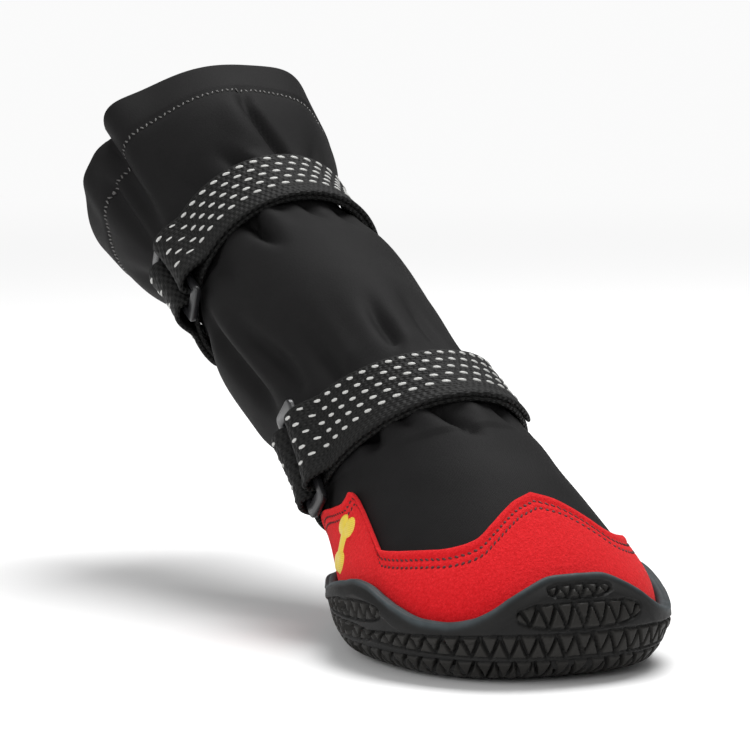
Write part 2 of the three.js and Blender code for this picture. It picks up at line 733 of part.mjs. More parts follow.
// The rand's top edge stops where the ankle strap and its ring cover it.
const [ankleStrap] = straps;
const coverHeight = 9;
const cover = (from, to, halfWidth) =>
  ribbon(
    ankleStrap.path,
    [
      { along: from, low: -1, high: coverHeight },
      { along: to, low: -1, high: coverHeight },
    ],
    halfWidth,
  );
const whole = ankleStrap.path.whole;
const { nearBar, farBar } = ankleStrap.seat;
const ringEdge = ringBarWidth + clearance;
const ringEnd = ringEndBar + clearance;
add(
  "rand",
  makeRand()
    .subtract(cover(0.1 * whole, 0.9 * whole, strapWidth / 2 + clearance))
    .subtract(cover(nearBar - ringEdge, farBar + ringEdge, strapWidth / 2 + ringSlack + ringEnd)),
  materials.felt,
);

for (const { name, path, seat, start, tail, tabEnd } of straps) {
  add(name + "_strap", makeStrap(path, seat, start, tail), materials.webbing);
  add(name + "_ring", makeRing(seat), materials.plastic);
  add(name + "_ring_tab", makeRingTab(path, seat, tabEnd), materials.webbing);
  add(
    name + "_elastic",
    makeElastic(path, tabEnd + clearance, path.whole + start - clearance),
    materials.elastic,
  );
}

export default boot;
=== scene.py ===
# A tall dog boot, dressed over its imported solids. Lengths are millimetres until a mesh is made.
import math

import bmesh
import bpy
import numpy as np
from mathutils import Matrix, Vector
from mathutils.bvhtree import BVHTree


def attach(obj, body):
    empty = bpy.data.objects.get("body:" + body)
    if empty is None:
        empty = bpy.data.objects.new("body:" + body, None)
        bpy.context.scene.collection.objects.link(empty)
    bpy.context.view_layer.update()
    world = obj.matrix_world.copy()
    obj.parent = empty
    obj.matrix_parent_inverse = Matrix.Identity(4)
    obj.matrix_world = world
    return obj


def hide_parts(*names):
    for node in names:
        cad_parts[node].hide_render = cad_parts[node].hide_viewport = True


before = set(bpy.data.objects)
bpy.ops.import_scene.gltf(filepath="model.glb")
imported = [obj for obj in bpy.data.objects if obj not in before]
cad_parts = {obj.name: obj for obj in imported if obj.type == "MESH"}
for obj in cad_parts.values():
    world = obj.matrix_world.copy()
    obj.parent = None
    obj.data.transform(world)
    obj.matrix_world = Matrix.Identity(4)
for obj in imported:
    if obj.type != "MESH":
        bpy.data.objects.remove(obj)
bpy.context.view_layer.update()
scene = bpy.context.scene
print("frame loaded")

# The last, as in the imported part
last = {
    "soleLength": 99,
    "ballWidth": 75,
    "instepHeight": 65,
    "shaftLength": 136,
    "shaftRadius": 25,
    "shaftLean": 25.6,
    "stack": 4.8,  # rubber, felt and gaps outside the last
    "footFloor": 4.8,
    "pleatDepth": 3.2,
    "pleatAngle": math.radians(-98),
    "pleatTurn": math.radians(28),
    "shaftPuff": 1.6,
    "collarCorner": 2.8,
    "collarCornerAngles": [math.radians(32), math.radians(-58)],
    "cinchDepth": 2.8,
    "cinchAngle": math.radians(80),
    "ankleStrapAt": 10,
    "collarStrapAt": 15,
}

# front, rise, back, lift, width, taper, widest
footSections = [
    (0.92, 0.0, 0.91, 0.0, 0.88, 0.3, 0.45),
    (0.98, 0.06, 0.98, 0.05, 0.955, 0.3, 0.45),
    (1.0, 0.15, 1.02, 0.11, 0.99, 0.3, 0.45),
    (0.95, 0.25, 1.05, 0.16, 0.98, 0.27, 0.46),
    (0.84, 0.35, 1.09, 0.2, 0.93, 0.21, 0.46),
    (0.69, 0.45, 1.13, 0.23, 0.87, 0.15, 0.47),
    (0.51, 0.55, 1.18, 0.255, 0.82, 0.1, 0.48),
    (0.31, 0.65, 1.24, 0.28, 0.775, 0.06, 0.49),
    (0.08, 0.75, 1.3, 0.305, 0.735, 0.03, 0.5),
    (-0.16, 0.84, 1.36, 0.325, 0.705, 0, 0.5),
    (-0.42, 0.93, 1.43, 0.345, 0.695, 0, 0.5),
]

# along, tilt, depth, width
shaftSections = [
    (0.14, 53, 1.05, 0.94),
    (0.28, 60, 1.05, 1.0),
    (0.42, 63, 1.04, 1.02),
    (0.53, 64, 1.0, 0.96),
    (0.62, 64, 0.98, 0.92),
    (0.71, 63.5, 1.0, 0.96),
    (0.86, 62, 1.19, 1.18),
    (1.0, 61, 1.24, 1.27),
]

# round, rim, rand
edgeHeights = np.array(
    [
        (0.0, 0.342, 0.598), (0.05, 0.337, 0.575), (0.09, 0.312, 0.542),
        (0.13, 0.281, 0.503), (0.165, 0.25, 0.467), (0.2, 0.228, 0.446),
        (0.25, 0.214, 0.428), (0.29, 0.214, 0.42), (0.33, 0.22, 0.412),
        (0.38, 0.245, 0.402), (0.41, 0.266, 0.398), (0.428, 0.28, 0.402),
        (0.438, 0.285, 0.455), (0.446, 0.288, 0.53), (0.456, 0.29, 0.556),
        (0.481, 0.29, 0.532), (0.508, 0.274, 0.504), (0.55, 0.251, 0.482),
        (0.615, 0.236, 0.458), (0.68, 0.23, 0.42), (0.75, 0.228, 0.365),
        (0.82, 0.226, 0.32), (0.9, 0.225, 0.28), (1.0, 0.225, 0.277),
    ]
)


def smooth(x):
    x = np.clip(x, 0, 1)
    return x * x * (3 - 2 * x)


halfLength = last["soleLength"] / 2 - last["stack"]
halfWidth = last["ballWidth"] / 2 - last["stack"]


def stations():
    rise = last["instepHeight"] - last["footFloor"]
    rows = []
    for front, up, back, lift, width, taper, widest in footSections:
        frontZ, backZ = last["footFloor"] + up * rise, last["footFloor"] + lift * rise
        ends = (front * halfLength, frontZ, -back * halfLength, backZ)
        rows.append((*ends, width * halfWidth, taper, widest, taper / 0.3))
    ankleX = (rows[-1][0] + rows[-1][2]) / 2
    ankleZ = (rows[-1][1] + rows[-1][3]) / 2
    lean = math.radians(last["shaftLean"])
    for along, tilt, depth, width in shaftSections:
        x = ankleX - math.cos(lean) * along * last["shaftLength"]
        z = ankleZ + math.sin(lean) * along * last["shaftLength"]
        dx = depth * last["shaftRadius"] * math.cos(math.radians(tilt))
        dz = depth * last["shaftRadius"] * math.sin(math.radians(tilt))
        rows.append((x + dx, z + dz, x - dx, z - dz, width * last["shaftRadius"], 0, 0.5, 0))
    return np.array(rows)


sections = stations()
collar = len(sections) - 1


# Values between a table's rows, on a smooth curve through them.
def between(table, at):
    i = np.clip(np.floor(at).astype(int), 0, len(table) - 2)
    t = (at - i)[..., None]
    p1, p2 = table[i], table[i + 1]
    p0 = np.where((i > 0)[..., None], table[np.maximum(i - 1, 0)], 2 * p1 - p2)
    p3 = np.where(
        (i + 2 < len(table))[..., None], table[np.minimum(i + 2, len(table) - 1)], 2 * p2 - p1
    )
    m1, m2 = (p2 - p0) / 2, (p3 - p1) / 2
    return (
        (2 * t**3 - 3 * t**2 + 1) * p1
        + (t**3 - 2 * t**2 + t) * m1
        + (3 * t**2 - 2 * t**3) * p2
        + (t**3 - t**2) * m2
    )


# Running length along a line of points, or down each column of a grid of them.
def running(points):
    steps = np.linalg.norm(np.diff(points, axis=0), axis=-1)
    return np.concatenate([np.zeros_like(steps[:1]), np.cumsum(steps, axis=0)])


def turned(angle):
    return np.arctan2(np.sin(angle), np.cos(angle))


# Height of the rim or the rand's edge at an angle, where 0 is the toe.
def edgeAt(column, theta):
    share = np.abs(turned(theta)) / np.pi
    i = np.clip(np.searchsorted(edgeHeights[:, 0], share, "left") - 1, 0, len(edgeHeights) - 2)
    t = (share - edgeHeights[i, 0]) / (edgeHeights[i + 1, 0] - edgeHeights[i, 0])
    k = {"rim": 1, "rand": 2}[column]
    return between(edgeHeights, i + t)[..., k] * last["instepHeight"]


def hump(x, width):
    return np.exp(-((x / width) ** 2))


def relief(theta, at):
    ankle, upper = last["ankleStrapAt"], last["collarStrapAt"]
    fade = smooth((at - ankle) / 1.2)
    lean = last["pleatTurn"] * smooth((at - upper) / (collar - upper))
    turn = turned(theta - last["pleatAngle"] - lean)
    free = smooth((np.minimum(np.abs(at - ankle), np.abs(at - upper)) - 0.85) / 1.1)
    fold = -last["pleatDepth"] * hump(turn, 0.11)
    lap = 0.45 * last["pleatDepth"] * hump(turn - 0.24, 0.16)
    puff = last["shaftPuff"] * free * (0.6 + 0.4 * np.cos(3 * theta + 0.8))
    flare = smooth((at - upper - 1.2) / 1.8)
    corners = sum(hump(turned(theta - a), 0.28) for a in last["collarCornerAngles"])
    cinch = hump(turned(theta - last["cinchAngle"]), 0.8) * hump(at - upper, 1.1)
    ends = last["collarCorner"] * flare * corners - last["cinchDepth"] * cinch
    gathers = fade * free * (fold + lap) + np.where(at > ankle, puff, 0.5 * puff) + ends
    return np.where(at < ankle - 1.5, 0, gathers)


def onSection(theta, at):
    theta, at = np.broadcast_arrays(np.asarray(theta, float), np.asarray(at, float))
    frontX, frontZ, backX, backZ, width, taper, widest, blunt = np.moveaxis(
        between(sections, at), -1, 0
    )
    c, n = np.cos(theta), np.sin(theta)
    midX = frontX + widest * (backX - frontX)
    midZ = frontZ + widest * (backZ - frontZ)
    power = 2 / (2.05 + np.where(c >= 0, 0.3, 0.95) * blunt)
    reach = np.abs(c) ** power
    endX = np.where(c >= 0, frontX, backX)
    endZ = np.where(c >= 0, frontZ, backZ)
    heel = np.where(c < 0, taper * smooth(reach / 0.85), 0)
    side = np.sign(n) * width * np.abs(n) ** power * (1 - heel)
    return np.stack([midX + (endX - midX) * reach, side, midZ + (endZ - midZ) * reach], -1)


def unit(v):
    return v / np.maximum(np.linalg.norm(v, axis=-1, keepdims=True), 1e-9)


# Point, and unit vectors round, out of and up the last's surface.
def surface(theta, at):
    step = 0.02
    around = unit(onSection(theta + step, at) - onSection(theta - step, at))
    up = unit(
        onSection(theta, np.minimum(at + step, collar)) - onSection(theta, np.maximum(at - step, 0))
    )
    out = unit(np.cross(around, up))
    theta, at = np.broadcast_arrays(np.asarray(theta, float), np.asarray(at, float))
    p = onSection(theta, at) + out * relief(theta, at)[..., None]
    return p, around, out, np.cross(out, around)


def atHeight(theta, height):
    low, high = np.zeros_like(theta), np.full_like(theta, collar)
    for _ in range(40):
        mid = (low + high) / 2
        below = onSection(theta, mid)[..., 2] < height
        low, high = np.where(below, mid, low), np.where(below, high, mid)
    return low


# For each angle, places up to top and the length of the surface up to them.
def lengthUp(theta, top, samples=90):
    at = np.linspace(0, 1, samples)[:, None] * top[None, :]
    return at, running(surface(theta[None, :], at)[0])


# Meshes
def finishObject(name, bm, materials, smoothShade=True):
    mesh = bpy.data.meshes.new(name)
    bm.to_mesh(mesh)
    bm.free()
    for material in materials:
        mesh.materials.append(material)
    if smoothShade:
        mesh.shade_smooth()
    piece = bpy.data.objects.new(name, mesh)
    scene.collection.objects.link(piece)
    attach(piece, "root")
    return piece


# A bmesh over a grid of points, in rows of rings. A shell's last ring joins its first.
def skinned(points, uv=None, ringClosed=True, shell=False, marks=None, materialOf=None):
    rows, columns = points.shape[:2]
    across = columns if ringClosed else columns - 1
    along = rows if shell else rows - 1
    bm = bmesh.new()
    bmesh.ops.create_grid(bm, x_segments=across, y_segments=along, size=1)
    uvLayer = bm.loops.layers.uv.new("lay")
    layers = {name: bm.verts.layers.float.new(name) for name in marks or {}}
    places = {
        v: (round((v.co.y + 1) / 2 * along), round((v.co.x + 1) / 2 * across)) for v in bm.verts
    }
    for v, (j, i) in places.items():
        v.co = points[j % rows, i % columns] * 0.001
        for name, layer in layers.items():
            v[layer] = marks[name][j % rows, i % columns]
    for face in bm.faces:
        corner = [places[loop.vert] for loop in face.loops]
        if materialOf is not None:
            face.material_index = materialOf(min(j for j, i in corner))
        if uv is not None:
            for loop, (j, i) in zip(face.loops, corner):
                loop[uvLayer].uv = uv[j, i]
    bmesh.ops.remove_doubles(bm, verts=bm.verts, dist=1e-7)
    return bm


def outwards(bm):
    bmesh.ops.recalc_face_normals(bm, faces=bm.faces)
    return bm


# Lays what was modelled flat, in millimetres, on the boot.
def moveFlat(bm, mapping):
    flat = np.array([v.co for v in bm.verts])
    for v, p in zip(bm.verts, mapping(flat)):
        v.co = p * 0.001
    bm.normal_update()


# Small rounded stitches in flat millimetres: rows of (x, y, z, turn).
def beads(spots, half, sides=6, rings=4):
    bm = bmesh.new()
    for x, y, z, turn in spots:
        place = (
            Matrix.Translation((x, y, z))
            @ Matrix.Rotation(turn, 4, "Z")
            @ Matrix.Diagonal((*half, 1))
            @ Matrix.Rotation(math.pi / 2, 4, "Y")
        )
        bmesh.ops.create_uvsphere(bm, u_segments=sides, v_segments=rings, radius=1, matrix=place)
    return bm


# Materials
# A group that takes a vector and numbers, and gives numbers.
def newGroup(name, numbers, results):
    group = bpy.data.node_groups.new(name, "ShaderNodeTree")
    number = "NodeSocketFloat"
    group.interface.new_socket("Vector", in_out="INPUT", socket_type="NodeSocketVector")
    for label, value in numbers.items():
        socket = group.interface.new_socket(label, in_out="INPUT", socket_type=number)
        socket.default_value = value
    for label in results:
        group.interface.new_socket(label, in_out="OUTPUT", socket_type=number)
    given = group.nodes.new("NodeGroupInput").outputs
    return group, given, group.nodes.new("NodeGroupOutput").inputs


def addNode(tree, kind, links=None, **values):
    node = tree.nodes.new(kind)
    for key, value in values.items():
        if key[2:].isdigit():
            node.inputs[int(key[2:])].default_value = value
        else:
            setattr(node, key, value)
    for index, source in (links or {}).items():
        tree.links.new(source, node.inputs[index])
    return node


def calc(tree, operation, a, b=None, c=None):
    node = tree.nodes.new("ShaderNodeMath")
    node.operation = operation
    for index, value in enumerate([a, b, c]):
        if value is None:
            continue
        if isinstance(value, (int, float)):
            node.inputs[index].default_value = value
        else:
            tree.links.new(value, node.inputs[index])
    return node.outputs[0]


def makeGrain():
    group, given, result = newGroup("fineGrain", {"Scale": 900.0}, ["Height", "Cloud"])
    slow = calc(group, "MULTIPLY", given["Scale"], 0.06)
    for index, scale, detail in ((0, given["Scale"], 3.0), (1, slow, 2.0)):
        links = {"Vector": given["Vector"], "Scale": scale}
        noise = addNode(group, "ShaderNodeTexNoise", links, in3=detail)
        group.links.new(noise.outputs[0], result[index])
    return group


def makeWeave():
    group, given, result = newGroup("weaveRibs", {"Along": 1.0, "Across": 1.0}, ["Height"])
    parts = addNode(group, "ShaderNodeSeparateXYZ", {0: given["Vector"]}).outputs
    waves = []
    for part, pitch in zip(parts, ("Along", "Across")):
        turns = calc(group, "DIVIDE", part, given[pitch])
        waves.append(calc(group, "SINE", calc(group, "MULTIPLY", turns, 2 * math.pi)))
    product = calc(group, "MULTIPLY", *waves)
    group.links.new(calc(group, "MULTIPLY_ADD", product, 0.5, 0.5), result[0])
    return group


# A mask for a painted highlight along the sole's rim: the edge mark, broken up by noise.
def makeRimHighlight():
    group, given, result = newGroup("paintedRimHighlight", {"Edge": 0.0, "Scale": 300.0}, ["Mask"])
    links = {"Vector": given["Vector"], "Scale": given["Scale"]}
    noise = addNode(group, "ShaderNodeTexNoise", links, in3=3.0)
    rough = calc(group, "MULTIPLY_ADD", noise.outputs[0], 0.8, 0.35)
    mask = addNode(group, "ShaderNodeClamp", {0: calc(group, "MULTIPLY", given["Edge"], rough)})
    group.links.new(mask.outputs[0], result[0])
    return group


grainGroup, weaveGroup, rimHighlightGroup = makeGrain(), makeWeave(), makeRimHighlight()


# Places a shared group, and gives its outputs.
def placeGroup(tree, group, vector, **values):
    node = tree.nodes.new("ShaderNodeGroup")
    node.node_tree = group
    tree.links.new(vector, node.inputs[0])
    for label, value in values.items():
        if isinstance(value, (int, float)):
            node.inputs[label].default_value = value
        else:
            tree.links.new(value, node.inputs[label])
    return node.outputs


def mixColours(tree, factor, a, b):
    node = tree.nodes.new("ShaderNodeMix")
    node.data_type = "RGBA"
    tree.links.new(factor, node.inputs[0])
    for index, value in ((6, a), (7, b)):
        if isinstance(value, tuple):
            node.inputs[index].default_value = (*value, 1)
        else:
            tree.links.new(value, node.inputs[index])
    return node.outputs[2]


def attributeValue(tree, name):
    node = tree.nodes.new("ShaderNodeAttribute")
    node.attribute_name = name
    return node.outputs["Fac"]


# A new material, its places, and its grain at a scale and weave (along, across) if it has them.
def startMaterial(name, roughness, specular, grainScale=None, weave=None):
    material = bpy.data.materials.new(name)
    material.use_nodes = True
    tree = material.node_tree
    shader = tree.nodes["Principled BSDF"]
    shader.inputs["Roughness"].default_value = roughness
    shader.inputs["Specular IOR Level"].default_value = specular
    place = tree.nodes.new("ShaderNodeTexCoord").outputs
    grain = ribs = None
    if grainScale:
        grain = placeGroup(tree, grainGroup, place["Object"], Scale=grainScale)
    if weave:
        ribs = placeGroup(tree, weaveGroup, place["UV"], Along=weave[0], Across=weave[1])
    return material, place, grain, ribs


# Feeds the shader a colour, bumps (height, millimetres, strength) upwards, and a roughness.
def dressMaterial(material, colour, bumps, roughness=None):
    tree = material.node_tree
    shader = tree.nodes["Principled BSDF"]
    tree.links.new(colour, shader.inputs["Base Color"])
    if roughness is not None:
        tree.links.new(roughness, shader.inputs["Roughness"])
    normal = None
    for height, distance, strength in bumps:
        node = addNode(tree, "ShaderNodeBump", {"Height": height})
        node.inputs["Strength"].default_value = strength
        node.inputs["Distance"].default_value = distance * 0.001
        if normal is not None:
            tree.links.new(normal, node.inputs["Normal"])
        normal = node.outputs[0]
    tree.links.new(normal, shader.inputs["Normal"])
    return material


def makeRubber():
    material, place, grain, _ = startMaterial("rubber", 0.5, 0.12, 1500)
    tree = material.node_tree
    lip = attributeValue(tree, "lip")
    rimHighlight = placeGroup(tree, rimHighlightGroup, place["Object"], Edge=lip, Scale=420)
    body = mixColours(tree, grain["Cloud"], (0.0095, 0.0095, 0.0095), (0.016, 0.0157, 0.0153))
    # Lug faces on the side are coloured a little lighter than the grooves between them.
    lugFaceTone = mixColours(tree, attributeValue(tree, "lugFace"), body, (0.0225, 0.0215, 0.02))
    # The lip and the rim's top are coloured light bluish grey, a painted highlight.
    colour = mixColours(tree, rimHighlight["Mask"], lugFaceTone, (0.055, 0.068, 0.074))
    spread = calc(tree, "MULTIPLY_ADD", grain["Height"], 0.25, 0.4)
    return dressMaterial(material, colour, [(grain["Height"], 0.05, 0.6)], spread)


def makeFelt():
    material, place, grain, _ = startMaterial("felt", 0.92, 0.15, 3600)
    tree = material.node_tree
    sheen = {"Sheen Weight": 0.1, "Sheen Roughness": 0.6, "Sheen Tint": (1.0, 0.25, 0.22, 1)}
    for label, value in sheen.items():
        tree.nodes["Principled BSDF"].inputs[label].default_value = value
    coarse = placeGroup(tree, grainGroup, place["Object"], Scale=1500)
    body = mixColours(tree, grain["Height"], (0.3, 0.001, 0.002), (0.97, 0.022, 0.032))
    spread = calc(tree, "MULTIPLY_ADD", coarse["Height"], 2.2, -0.6)
    colour = mixColours(tree, spread, (0.5, 0.003, 0.006), body)
    bumps = [(coarse["Height"], 0.3, 0.8), (grain["Height"], 0.15, 1.0)]
    return dressMaterial(material, colour, bumps)


def makeWebbing():
    material, place, grain, weave = startMaterial("webbing", 0.6, 0.12, 2400, (1.3, 3.2))
    tree = material.node_tree
    yarn = placeGroup(tree, weaveGroup, place["UV"], Along=2.6, Across=0.8)
    height = calc(tree, "MULTIPLY_ADD", yarn["Height"], 0.6, weave["Height"])
    share = calc(tree, "MULTIPLY", height, 0.6)
    colour = mixColours(tree, share, (0.0025, 0.0025, 0.0025), (0.016, 0.016, 0.0155))
    return dressMaterial(material, colour, [(height, 0.35, 0.8), (grain["Height"], 0.1, 0.8)])


# Cloth whose weave lies under its grain. Its colour follows either of them.
def makeCloth(name, gloss, grainScale, weave, byGrain, colours, weaveBump, grainBump):
    material, _, grain, ribs = startMaterial(name, *gloss, grainScale, weave)
    source = grain["Cloud"] if byGrain else ribs["Height"]
    bumps = [(ribs["Height"], *weaveBump)]
    if grainBump:
        bumps.append((grain["Height"], *grainBump))
    return dressMaterial(material, mixColours(material.node_tree, source, *colours), bumps)


def makeSoftshell(name, dark, light, pitch):
    weave = (pitch, pitch * 0.8)
    return makeCloth(name, (0.66, 0.06), 1900, weave, True, (dark, light), (0.05, 0.7), (0.07, 0.7))


def makeThread(name, dark, light, roughness):
    material, _, grain, _ = startMaterial(name, roughness, 0.5, 3200)
    colour = mixColours(material.node_tree, grain["Height"], dark, light)
    return dressMaterial(material, colour, [(grain["Height"], 0.05, 0.6)])


def makeMoulded(name, dark, light, roughness, scale):
    material, _, grain, _ = startMaterial(name, roughness, 0.5, scale)
    tree = material.node_tree
    colour = mixColours(tree, grain["Cloud"], dark, light)
    spread = calc(tree, "MULTIPLY_ADD", grain["Height"], 0.2, roughness - 0.1)
    return dressMaterial(material, colour, [(grain["Height"], 0.02, 0.5)], spread)


rubber = makeRubber()
softshell = makeSoftshell("softshell", (0.0086, 0.0084, 0.0086), (0.0122, 0.0119, 0.0121), 0.5)
lining = makeSoftshell("lining", (0.0045, 0.0045, 0.0045), (0.008, 0.008, 0.008), 0.9)
felt = makeFelt()
webbing = makeWebbing()
ribColours = ((0.006, 0.006, 0.006), (0.022, 0.022, 0.022))
ribbed = (2600, (1.35, 0.7), False, ribColours, (0.15, 0.6), (0.05, 0.6))
elastic = makeCloth("elastic", (0.7, 0.35), *ribbed)
reflective = makeThread("reflectiveThread", (0.34, 0.34, 0.33), (0.62, 0.62, 0.6), 0.38)
blackThread = makeThread("blackThread", (0.004, 0.004, 0.004), (0.02, 0.02, 0.02), 0.5)
greyThread = makeThread("greyThread", (0.03, 0.03, 0.03), (0.13, 0.125, 0.12), 0.45)
redThread = makeThread("redThread", (0.035, 0.001, 0.002), (0.09, 0.002, 0.004), 0.7)
plastic = makeMoulded("plastic", (0.008, 0.008, 0.009), (0.013, 0.013, 0.014), 0.3, 700.0)
insertPlastic = makeMoulded("insertPlastic", (0.42, 0.25, 0.012), (0.55, 0.34, 0.02), 0.42, 900.0)
footbed = makeMoulded("footbed", (0.02, 0.02, 0.02), (0.035, 0.035, 0.035), 0.9, 1300.0)
satinColours = ((0.5, 0.33, 0.012), (0.86, 0.69, 0.08))
satin = makeCloth(
    "satinThread", (0.42, 0.5), None, (0.42, 60.0), False, satinColours, (0.12, 0.7), None
)
print("materials made")

# The upper
upper = {
    "wall": 1.5,
    "hemWidth": 13.5,
    "hemExtra": 0.9,
    "columns": 208,
    "stitchBelow": 13.2,
    "stitchPitch": 2.7,
}

# Soft troughs (depth below 0) and ridges: where each fades, its width and depth in millimetres, and
# places (degrees, section) along it.
creases = [
    # Below the collar strap: a deep notch with a soft ridge on its right, and lesser gathers
    ("end", 1.8, -4.0, [(-37, 14.25), (-36, 13.75), (-33, 13.2), (-29, 12.8)]),
    ("end", 3.0, 1.7, [(-27, 14.25), (-24, 13.7), (-21, 13.0)]),
    ("end", 3.6, 1.1, [(-50, 14.25), (-50, 13.7), (-47, 13.0)]),
    ("end", 1.8, -1.4, [(-2, 14.2), (0, 13.7), (3, 13.2)]),
    ("end", 2.4, -1.3, [(22, 14.2), (19, 13.6), (16, 13.0)]),
    ("end", 3.0, -1.4, [(-72, 14.2), (-66, 13.4), (-64, 12.4)]),
    # Above the ankle strap
    ("end", 1.7, -2.2, [(-13, 10.75), (-13, 11.15), (-10, 11.7)]),
    ("end", 3.2, 1.1, [(-4, 10.75), (-3, 11.2), (0, 11.9)]),
    ("end", 3.6, 1.0, [(-24, 10.75), (-23, 11.3), (-20, 12.0)]),
    ("end", 3.0, -2.4, [(-53, 10.75), (-52, 11.3), (-50, 12.2)]),
    ("end", 3.2, 1.0, [(-40, 10.8), (-38, 11.4), (-35, 12.2)]),
    ("end", 2.2, -1.5, [(14, 10.75), (12, 11.3), (12, 11.9)]),
    ("both", 2.8, -2.6, [(-74, 10.8), (-74, 11.6), (-80, 12.8)]),
    # The vamp
    ("end", 2.2, -3.2, [(-58, 9.25), (-57, 8.85), (-54, 8.45)]),
    ("end", 3.6, 1.2, [(-46, 9.3), (-42, 8.9), (-36, 8.4)]),
    ("end", 1.5, -3.0, [(-17, 9.25), (-13, 8.8), (-6, 8.35), (1, 8.0)]),
    ("end", 3.2, 1.8, [(-29, 9.3), (-25, 8.85), (-19, 8.3)]),
    ("end", 3.0, 1.0, [(-3, 9.25), (4, 8.8), (12, 8.3)]),
    ("end", 2.2, -1.6, [(22, 9.25), (26, 8.8), (32, 8.3)]),
    ("end", 1.5, -1.3, [(-36, 9.3), (-35, 9.0), (-33, 8.7)]),
    # The collar: a crease from its seam to the strap, and gathers at the strap
    ("both", 1.7, -3.0, [(-1, 17.3), (-4, 16.9), (1, 16.5), (8, 16.1), (10, 15.8)]),
    ("both", 3.6, 1.2, [(-10, 17.1), (-12, 16.7), (-9, 16.2)]),
    ("end", 2.0, -3.0, [(-16, 15.75), (-23, 16.1), (-32, 16.5)]),
    ("end", 2.6, 1.2, [(-8, 15.75), (-14, 16.1), (-20, 16.5)]),
    ("end", 2.8, -1.6, [(-45, 15.75), (-52, 16.4), (-60, 17.2)]),
    ("end", 2.4, -1.6, [(28, 15.75), (32, 16.3), (38, 17.0)]),
    # The left back of the collar, which bellies out
    ("end", 4.5, 1.5, [(-92, 18.0), (-98, 17.3), (-104, 16.4)]),
    ("both", 1.8, -2.2, [(-84, 17.5), (-90, 17.0), (-98, 16.3)]),
    ("end", 1.2, -1.5, [(-69, 18.0), (-71, 17.4), (-75, 16.8), (-82, 16.2)]),
    ("end", 3.2, -1.8, [(-120, 15.8), (-124, 16.6), (-130, 17.4)]),
    # The back and the left side
    ("end", 3.0, -1.6, [(70, 15.8), (78, 16.6), (84, 17.4)]),
    ("end", 3.4, -1.8, [(150, 15.8), (154, 16.5), (160, 17.3)]),
    ("end", 2.6, -1.8, [(50, 10.8), (56, 11.6), (60, 12.4)]),
    ("end", 2.4, -1.7, [(48, 14.2), (52, 13.4), (54, 12.7)]),
    ("end", 3.2, -1.8, [(112, 10.8), (106, 11.8), (100, 12.8)]),
    ("end", 3.0, -1.7, [(120, 14.2), (126, 13.3), (130, 12.5)]),
    ("end", 3.0, -1.8, [(180, 10.8), (176, 11.6), (170, 12.6)]),
    ("end", 3.0, -1.7, [(-150, 14.2), (-146, 13.3), (-140, 12.4)]),
    ("end", 2.8, -1.7, [(-140, 10.8), (-146, 11.7), (-150, 12.6)]),
    ("end", 2.4, -1.8, [(58, 9.25), (62, 8.7), (70, 8.1)]),
    ("end", 3.0, -1.6, [(176, 9.2), (172, 8.4), (166, 7.6)]),
]


# How far the creases move each point out of the surface.
def creaseHeights(points):
    total = np.zeros(points.shape[:-1])
    for fade, width, depth, path in creases:
        keys = np.array(path, float)
        t = np.linspace(0, len(keys) - 1, 22)
        theta = np.radians(np.interp(t, range(len(keys)), keys[:, 0]))
        at = np.interp(t, range(len(keys)), keys[:, 1])
        line = surface(theta, at)[0]
        nearest = np.full(total.shape, 1e9)
        share = np.zeros(total.shape)
        for k in range(len(line) - 1):
            step = line[k + 1] - line[k]
            along = np.clip(((points - line[k]) @ step) / (step @ step), 0, 1)
            gap = np.linalg.norm(points - line[k] - along[..., None] * step, axis=-1)
            closer = gap < nearest
            nearest = np.where(closer, gap, nearest)
            share = np.where(closer, (k + along) / (len(line) - 1), share)
        ends = 1 - smooth((share - 0.25) / 0.75)
        if fade == "both":
            ends = np.sin(np.pi * np.clip(share, 0.02, 0.98)) ** 0.7
        total += depth * ends * hump(nearest, width)
    return total


# Distance up or down the surface from a strap's middle line.
def strapDistance(points, atRows, strapAt):
    length = running(points)
    middle = np.array([np.interp(strapAt, atRows, length[:, i]) for i in range(points.shape[1])])
    return length - middle


def upperFolds(theta, atRows, points):
    at = atRows[:, None]
    t = theta[None, :]
    free = smooth((at - 6) / 2.5)
    wobble = 0.28 * np.sin(3 * t + 1.3 * at) + 0.2 * np.sin(5 * t - 2.1 * at + 1)
    total = (wobble + 0.14 * np.sin(2 * t + 3.7 * at + 2)) * free
    for strapAt, phase in ((last["ankleStrapAt"], 0.4), (last["collarStrapAt"], 2.1)):
        distance = strapDistance(points, atRows, strapAt)
        beyond = np.abs(distance) - 9
        side = np.where(distance > 0, 1.7, 0)
        ripple = 0.32 * np.sin(11 * t + phase + side) + 0.24 * np.sin(17 * t + 2 * phase - side)
        ripple += 0.16 * np.sin(23 * t + 3 * phase + 2 * side)
        gather = ripple * np.exp(-np.maximum(beyond, 0) / 6) * smooth(beyond / 2)
        under = smooth(1 - beyond / 1.5)
        total = total * (1 - under) + gather * free - 0.25 * under
    return total + creaseHeights(points) * free


